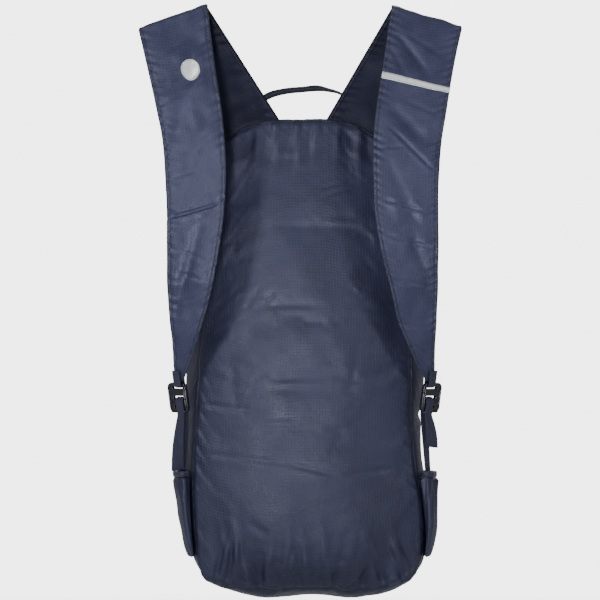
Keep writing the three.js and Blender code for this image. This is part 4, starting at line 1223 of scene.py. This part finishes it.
# %% Where each buckle stands
buckle_width, buckle_thick, bar_heights = 23 * mm, 4 * mm, (3.2 * mm, 4 * mm, 5.6 * mm, 3.8 * mm)
slot_height, slot_width, tie_length = 4 * mm, 16 * mm, 12 * mm
buckle_length = sum(bar_heights) + 3 * slot_height
bar_edges = [buckle_length / 2 - sum(bar_heights[:i + 1]) - i * slot_height for i in range(4)]
webbing_width, bunched_width, webbing_thick, bunch_shift = 12.5 * mm, 9 * mm, 1.2 * mm, 3.2 * mm


def buckle_axes(side):
    turn, tilt = math.radians(42), math.radians(14)
    across = np.array([-side * math.cos(turn), -math.sin(turn), 0])
    up = np.array([0, -math.sin(tilt), math.cos(tilt)])
    up -= across * (up @ across)
    up /= np.linalg.norm(up)
    return across, -side * np.cross(across, up), up


def in_buckle(name, x, y, z):
    low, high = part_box(f"buckle_{name}")
    across, out, up = buckle_axes(straps[name][1])
    x, y, z = (np.asarray(value, float)[..., None] for value in (x, y, z))
    return np.array((low + high) / 2) + across * x + out * y + up * z


print("buckle's length in millimetres:", round(buckle_length / mm, 1))


# %% Ladder locks
def rounded_outline(left, right, low, high, radius, steps=7):
    corners = [(right - radius, low + radius, -90), (right - radius, high - radius, 0),
               (left + radius, high - radius, 90), (left + radius, low + radius, 180)]
    points = []
    for x, y, start in corners:
        for angle in np.radians(start + np.linspace(0, 90, steps)):
            points.append((x + radius * math.cos(angle), y + radius * math.sin(angle), 0, 1))
    return points


def buckle(name):
    side, rim = straps[name][1], 0.9 * mm
    drawing = bpy.data.curves.new("ladder_lock", "CURVE")
    drawing.dimensions, drawing.fill_mode = "2D", "BOTH"
    drawing.extrude, drawing.bevel_depth, drawing.bevel_resolution = buckle_thick / 2 - rim, rim, 3
    half, tall = buckle_width / 2 - rim, buckle_length / 2 - rim
    outlines = [rounded_outline(-half, half, -tall, tall, 5 * mm - rim)]
    for edge, above, below in zip(bar_edges, (0, 1.4 * mm, 0.9 * mm), (1.5 * mm, 0, 0.9 * mm)):
        left, right = rim + 5 * mm, rim + slot_width / 2
        low, high = edge - slot_height + below - rim, edge - above + rim
        outlines.append(rounded_outline(-left, right, low, high, 1.1 * mm + rim))
    for points in outlines:
        spline = drawing.splines.new("POLY")
        spline.points.add(len(points) - 1)
        spline.points.foreach_set("co", np.array(points).ravel())
        spline.use_cyclic_u = True
    carrier = bpy.data.objects.new("ladder_lock", drawing)
    bpy.context.scene.collection.objects.link(carrier)
    mesh = bpy.data.meshes.new_from_object(carrier.evaluated_get(bpy.context.evaluated_depsgraph_get()))
    bpy.data.objects.remove(carrier)
    flat = np.zeros(len(mesh.vertices) * 3, np.float32)
    mesh.vertices.foreach_get("co", flat)
    flat = flat.reshape(-1, 3)
    placed = in_buckle(name, flat[:, 0], flat[:, 2], flat[:, 1])
    mesh.vertices.foreach_set("co", placed.astype(np.float32).ravel())
    if side < 0:
        mesh.flip_normals()
    mesh.shade_smooth()
    mesh.name = f"buckle_{name}_moulded"
    piece = bpy.data.objects.new(mesh.name, mesh)
    bpy.context.scene.collection.objects.link(piece)
    return piece


# %% Ribs, lip and rails of the ladder locks
def buckle_ribs(name):
    span = np.linspace(-1, 1, 9)
    face, level = buckle_thick / 2, 0 * span
    ribs = []
    for z in (bar_edges[2] + np.array([1.0, 2.3, 3.6]) * mm):
        line = in_buckle(name, span * 7.2 * mm, face + level, z + level)
        ribs.append(tube(line, 0.9 * mm, 0.9 * mm, 8))
    lip_height, lip_bow = -buckle_length / 2 + 1.2 * mm, 0.5 * mm * (1 - span ** 4)
    lip = in_buckle(name, span * 8.5 * mm, face + lip_bow, lip_height + level)
    ribs.append(tube(lip, 2.2 * mm, 1.8 * mm, 10))
    for x in (-1, 1):
        reach = buckle_length / 2 - 5 * mm
        rail = in_buckle(name, x * 9.7 * mm + level, face + 0.25 * mm + level, span * reach)
        ribs.append(tube(rail, 1.6 * mm, 1.2 * mm, 10, (0, 1, 0)))
    return ribs


for name in straps:
    show(buckle(name), plastic, "plastic", f"buckle_{name}")
    show(joined(f"buckle_{name}_ribs", buckle_ribs(name)), plastic, "plastic")

# %% [markdown]
# ### Ties and webbing
# A short tie is sewn to the strap's end and holds the buckle's top bar. The long webbing comes up from inside
# the pocket, turns over the buckle's second bar and hangs down in front. A simulated ribbon would have to
# slide round the bar, so the way it takes is a short list of points, spaced evenly and smoothed, with its
# width and its twist at each of them.

# %% A tie's route
def evenly(columns, step, rounds):
    run = lengths(columns[:, None, :3], 0)[:, 0]
    at = np.linspace(0, run[-1], int(run[-1] / step) + 2)
    even = np.stack([np.interp(at, run, columns[:, k]) for k in range(columns.shape[1])], -1)
    for _ in range(rounds):
        even[1:-1] = (even[:-2] + 2 * even[1:-1] + even[2:]) / 4
    return even


def tie_path():
    middle = buckle_thick / 2 + 2 * seam_gap + webbing_thick / 2
    low = buckle_length / 2 - bar_heights[0] + buckle_thick / 2
    top = buckle_length / 2 + tie_length
    angle = np.linspace(-math.pi, 0, 9)
    y = np.concatenate([[-middle], middle * np.cos(angle), [middle]])
    z = np.concatenate([[top], low + middle * np.sin(angle), [top]])
    return evenly(np.stack([y, z, 0 * z], -1), 0.7 * mm, 1)


print("points along a tie:", len(tie_path()))

# %% Webbing's route
webbing_routes = {
    "left": [(0.12, 0.75, 0.12, 90), (0.18, 0.36, 0.30, 50), (0.243, 0.20, 0.51, 38)],
    "right": [(0.12, 0.75, 0.12, 90), (0.18, 0.60, 0.20, 78), (0.243, 0.50, 0.48, 65)],
}
tail_lengths = {"left": 52 * mm, "right": 30 * mm}


def webbing_path(name):
    side = straps[name][1]
    across, _, up_way = buckle_axes(side)
    reach = buckle_thick / 2 + 2 * seam_gap + webbing_thick / 2
    turn_top = bar_edges[1] - slot_height + seam_gap - buckle_thick / 2
    leave_z = -buckle_length / 2 - 2 * mm
    rows = []
    for up, back, away, turn in webbing_routes[name]:
        share = back * webbing_width / (section["depth"](up) * depth)
        point = gusset_surface(side, np.array([up]), np.array([share]))[0]
        point[0] += side * (cloth_wall + seam_gap + webbing_thick / 2 + away * webbing_width)
        point[1] = seat + section["sway"](up) * depth + back * webbing_width
        turn = math.radians(turn)
        width = webbing_width * (0.8 if up < pocket_mouth else 0.92)
        rows.append([*point, -side * math.cos(turn), -math.sin(turn), 0, width])
    rows.append([*in_buckle(name, bunch_shift, -reach, leave_z), *across, bunched_width])
    for angle in np.linspace(0, math.pi, 9):
        spot = in_buckle(name, bunch_shift, -reach * math.cos(angle), turn_top + reach * math.sin(angle))
        rows.append([*spot, *across, bunched_width])
    tail = in_buckle(name, bunch_shift, reach, leave_z)
    rows.append([*tail, *across, bunched_width])
    outwards = np.array([side * 0.9, 0.25, 0]) / math.hypot(0.9, 0.25)
    for share in (0.25, 0.5, 0.75, 1):
        point = tail + outwards * 1.5 * mm * math.sin(math.pi * share * 0.9)
        point = point + np.array([side * 2.5 * mm * share, 9 * mm * share ** 2, -tail_lengths[name] * share])
        twist = side * -0.5 * math.pi * share * 0.55
        facing = across * math.cos(twist) + np.cross(up_way, across) * math.sin(twist)
        rows.append([*point, *facing, bunched_width + (webbing_width - bunched_width) * share])
    return evenly(np.array(rows), 0.9 * mm, 3)


print("points along the left webbing:", len(webbing_path("left")))

# %% Ties and webbing in place
sewn = []
for name, (_, side) in straps.items():
    across, out, _ = buckle_axes(side)
    path = tie_path()
    middle = in_buckle(name, bunch_shift + 0 * path[:, 0], path[:, 0], path[:, 1])
    tie_across = np.tile(across, (len(path), 1))
    tie = ribbon(f"buckle_tie_{name}_tape", middle, tie_across, bunched_width, webbing_thick, (0, 0, -1))
    show(tie, webbing_cloth, "webbing", f"buckle_tie_{name}")
    path = webbing_path(name)
    facing = path[:, 3:6] / np.linalg.norm(path[:, 3:6], axis=1, keepdims=True)
    strip = ribbon(f"webbing_{name}_tape", path[:, :3], facing, path[:, 6], webbing_thick, (0, -1, 0), 11)
    show(strip, webbing_cloth, "webbing", f"webbing_{name}")
    face = buckle_thick / 2 + 2 * seam_gap + webbing_thick
    for down in (1.8, 4.6, 7.4, 10.2):
        level = buckle_length / 2 + tie_length - down * mm
        line = in_buckle(name, bunch_shift + np.linspace(-4, 4, 9) * mm, face, level)
        sewn += stitch_row(line, np.tile(out, (9, 1)), 2.1 * mm, 0.45 * mm)
show(joined("tie_stitching", sewn), thread, "webbing")

# %% [markdown]
# ## Haul loop
# The loop is a tape folded lengthwise and sewn, so it is thick and round, and it twists a little at its right
# foot. It is one tube along a curve with a flattened section. A simulated rope would hang down, and this one
# carries the bag and stands up in an arch.

# %% Haul loop
loop_rise, loop_foot, loop_width, loop_thick = 27 * mm, 51 * mm, 9 * mm, 5.6 * mm
loop_route = table("along across rise thick", [
    (0.00, -1.00, 0.000, 0.80), (0.12, -0.86, 0.500, 1.00), (0.25, -0.66, 0.840, 1.15),
    (0.40, -0.32, 1.030, 1.05), (0.50, 0.00, 1.089, 1.00), (0.58, 0.24, 1.130, 1.05),
    (0.68, 0.46, 1.070, 0.68), (0.78, 0.70, 0.930, 0.45), (0.88, 0.88, 0.550, 0.60),
    (1.00, 0.98, 0.000, 0.80),
])
along = np.linspace(0, 1, 121)
foot_x, lift, thick = (smooth(loop_route, "along", key)(along) * size for key, size in (
    ("across", loop_foot), ("rise", loop_rise), ("thick", loop_thick)))
set_back = -seat
top_depth = sections[-1]["depth"] * depth
ground = top_line(foot_x / top_half_width, set_back / top_depth)[:, 2] + cloth_wall + 3 * seam_gap
landed = ground + (top_seam - ground) * np.clip(lift / loop_rise, 0, 1)
middle = np.stack([foot_x, 0 * foot_x, landed + lift], -1)
loop_section = (middle, thick, loop_width, 28, (0, 1, 0), 2.7)
rings = ring_points(*loop_section)
girth = lengths(np.concatenate([rings, rings[:, :1]], 1), 1)[:, :-1]
run = lengths(middle[:, None], 0)
folded = np.minimum(girth, girth[:, -1:] - girth)
places = np.stack([folded, np.broadcast_to(run, folded.shape), np.full(folded.shape, 1.0)], -1)
points, quads = tube(*loop_section)
loop = plain_mesh("haul_loop_tape", points, quads, places.reshape(-1, 3))
show(loop, binding_cloth, "binding", "haul_loop")
front = middle + np.array([0, -0.5, 0]) * loop_width
loop_stitches = stitch_row(front, np.tile([0.0, -1.0, 0.0], (len(front), 1)), 2.8 * mm)
show(joined("haul_loop_stitching", loop_stitches), thread, "binding")

# %% [markdown]
# ## Floor
# The bag hangs just above a plain pale floor. A square one would show its edge in some views, so it is a disc
# whose surface lets through more and more light towards its rim.

# %% Pale floor that fades out
floor_height, floor_radius = -0.53, 1.3


def floor_finish():
    bench = Bench("pale_floor")
    where = bench.node("ShaderNodeTexCoord").outputs["Object"]
    away = bench.node("ShaderNodeVectorMath", {"operation": "LENGTH"})
    bench.put(away.inputs[0], where)
    bench.put(bench.shader.inputs["Alpha"], bench.ramp(away.outputs["Value"], 0.35, floor_radius, 1, 0))
    return bench.finish((0.86, 0.87, 0.88, 1), 0.7)


work = bmesh.new()
bmesh.ops.create_circle(work, cap_ends=True, segments=96, radius=floor_radius)
floor = moulded_piece("floor", [work])
floor.location = (0, 0, floor_height)
floor.data.materials.append(floor_finish())
print("floor's height and radius in metres:", floor_height, floor_radius)
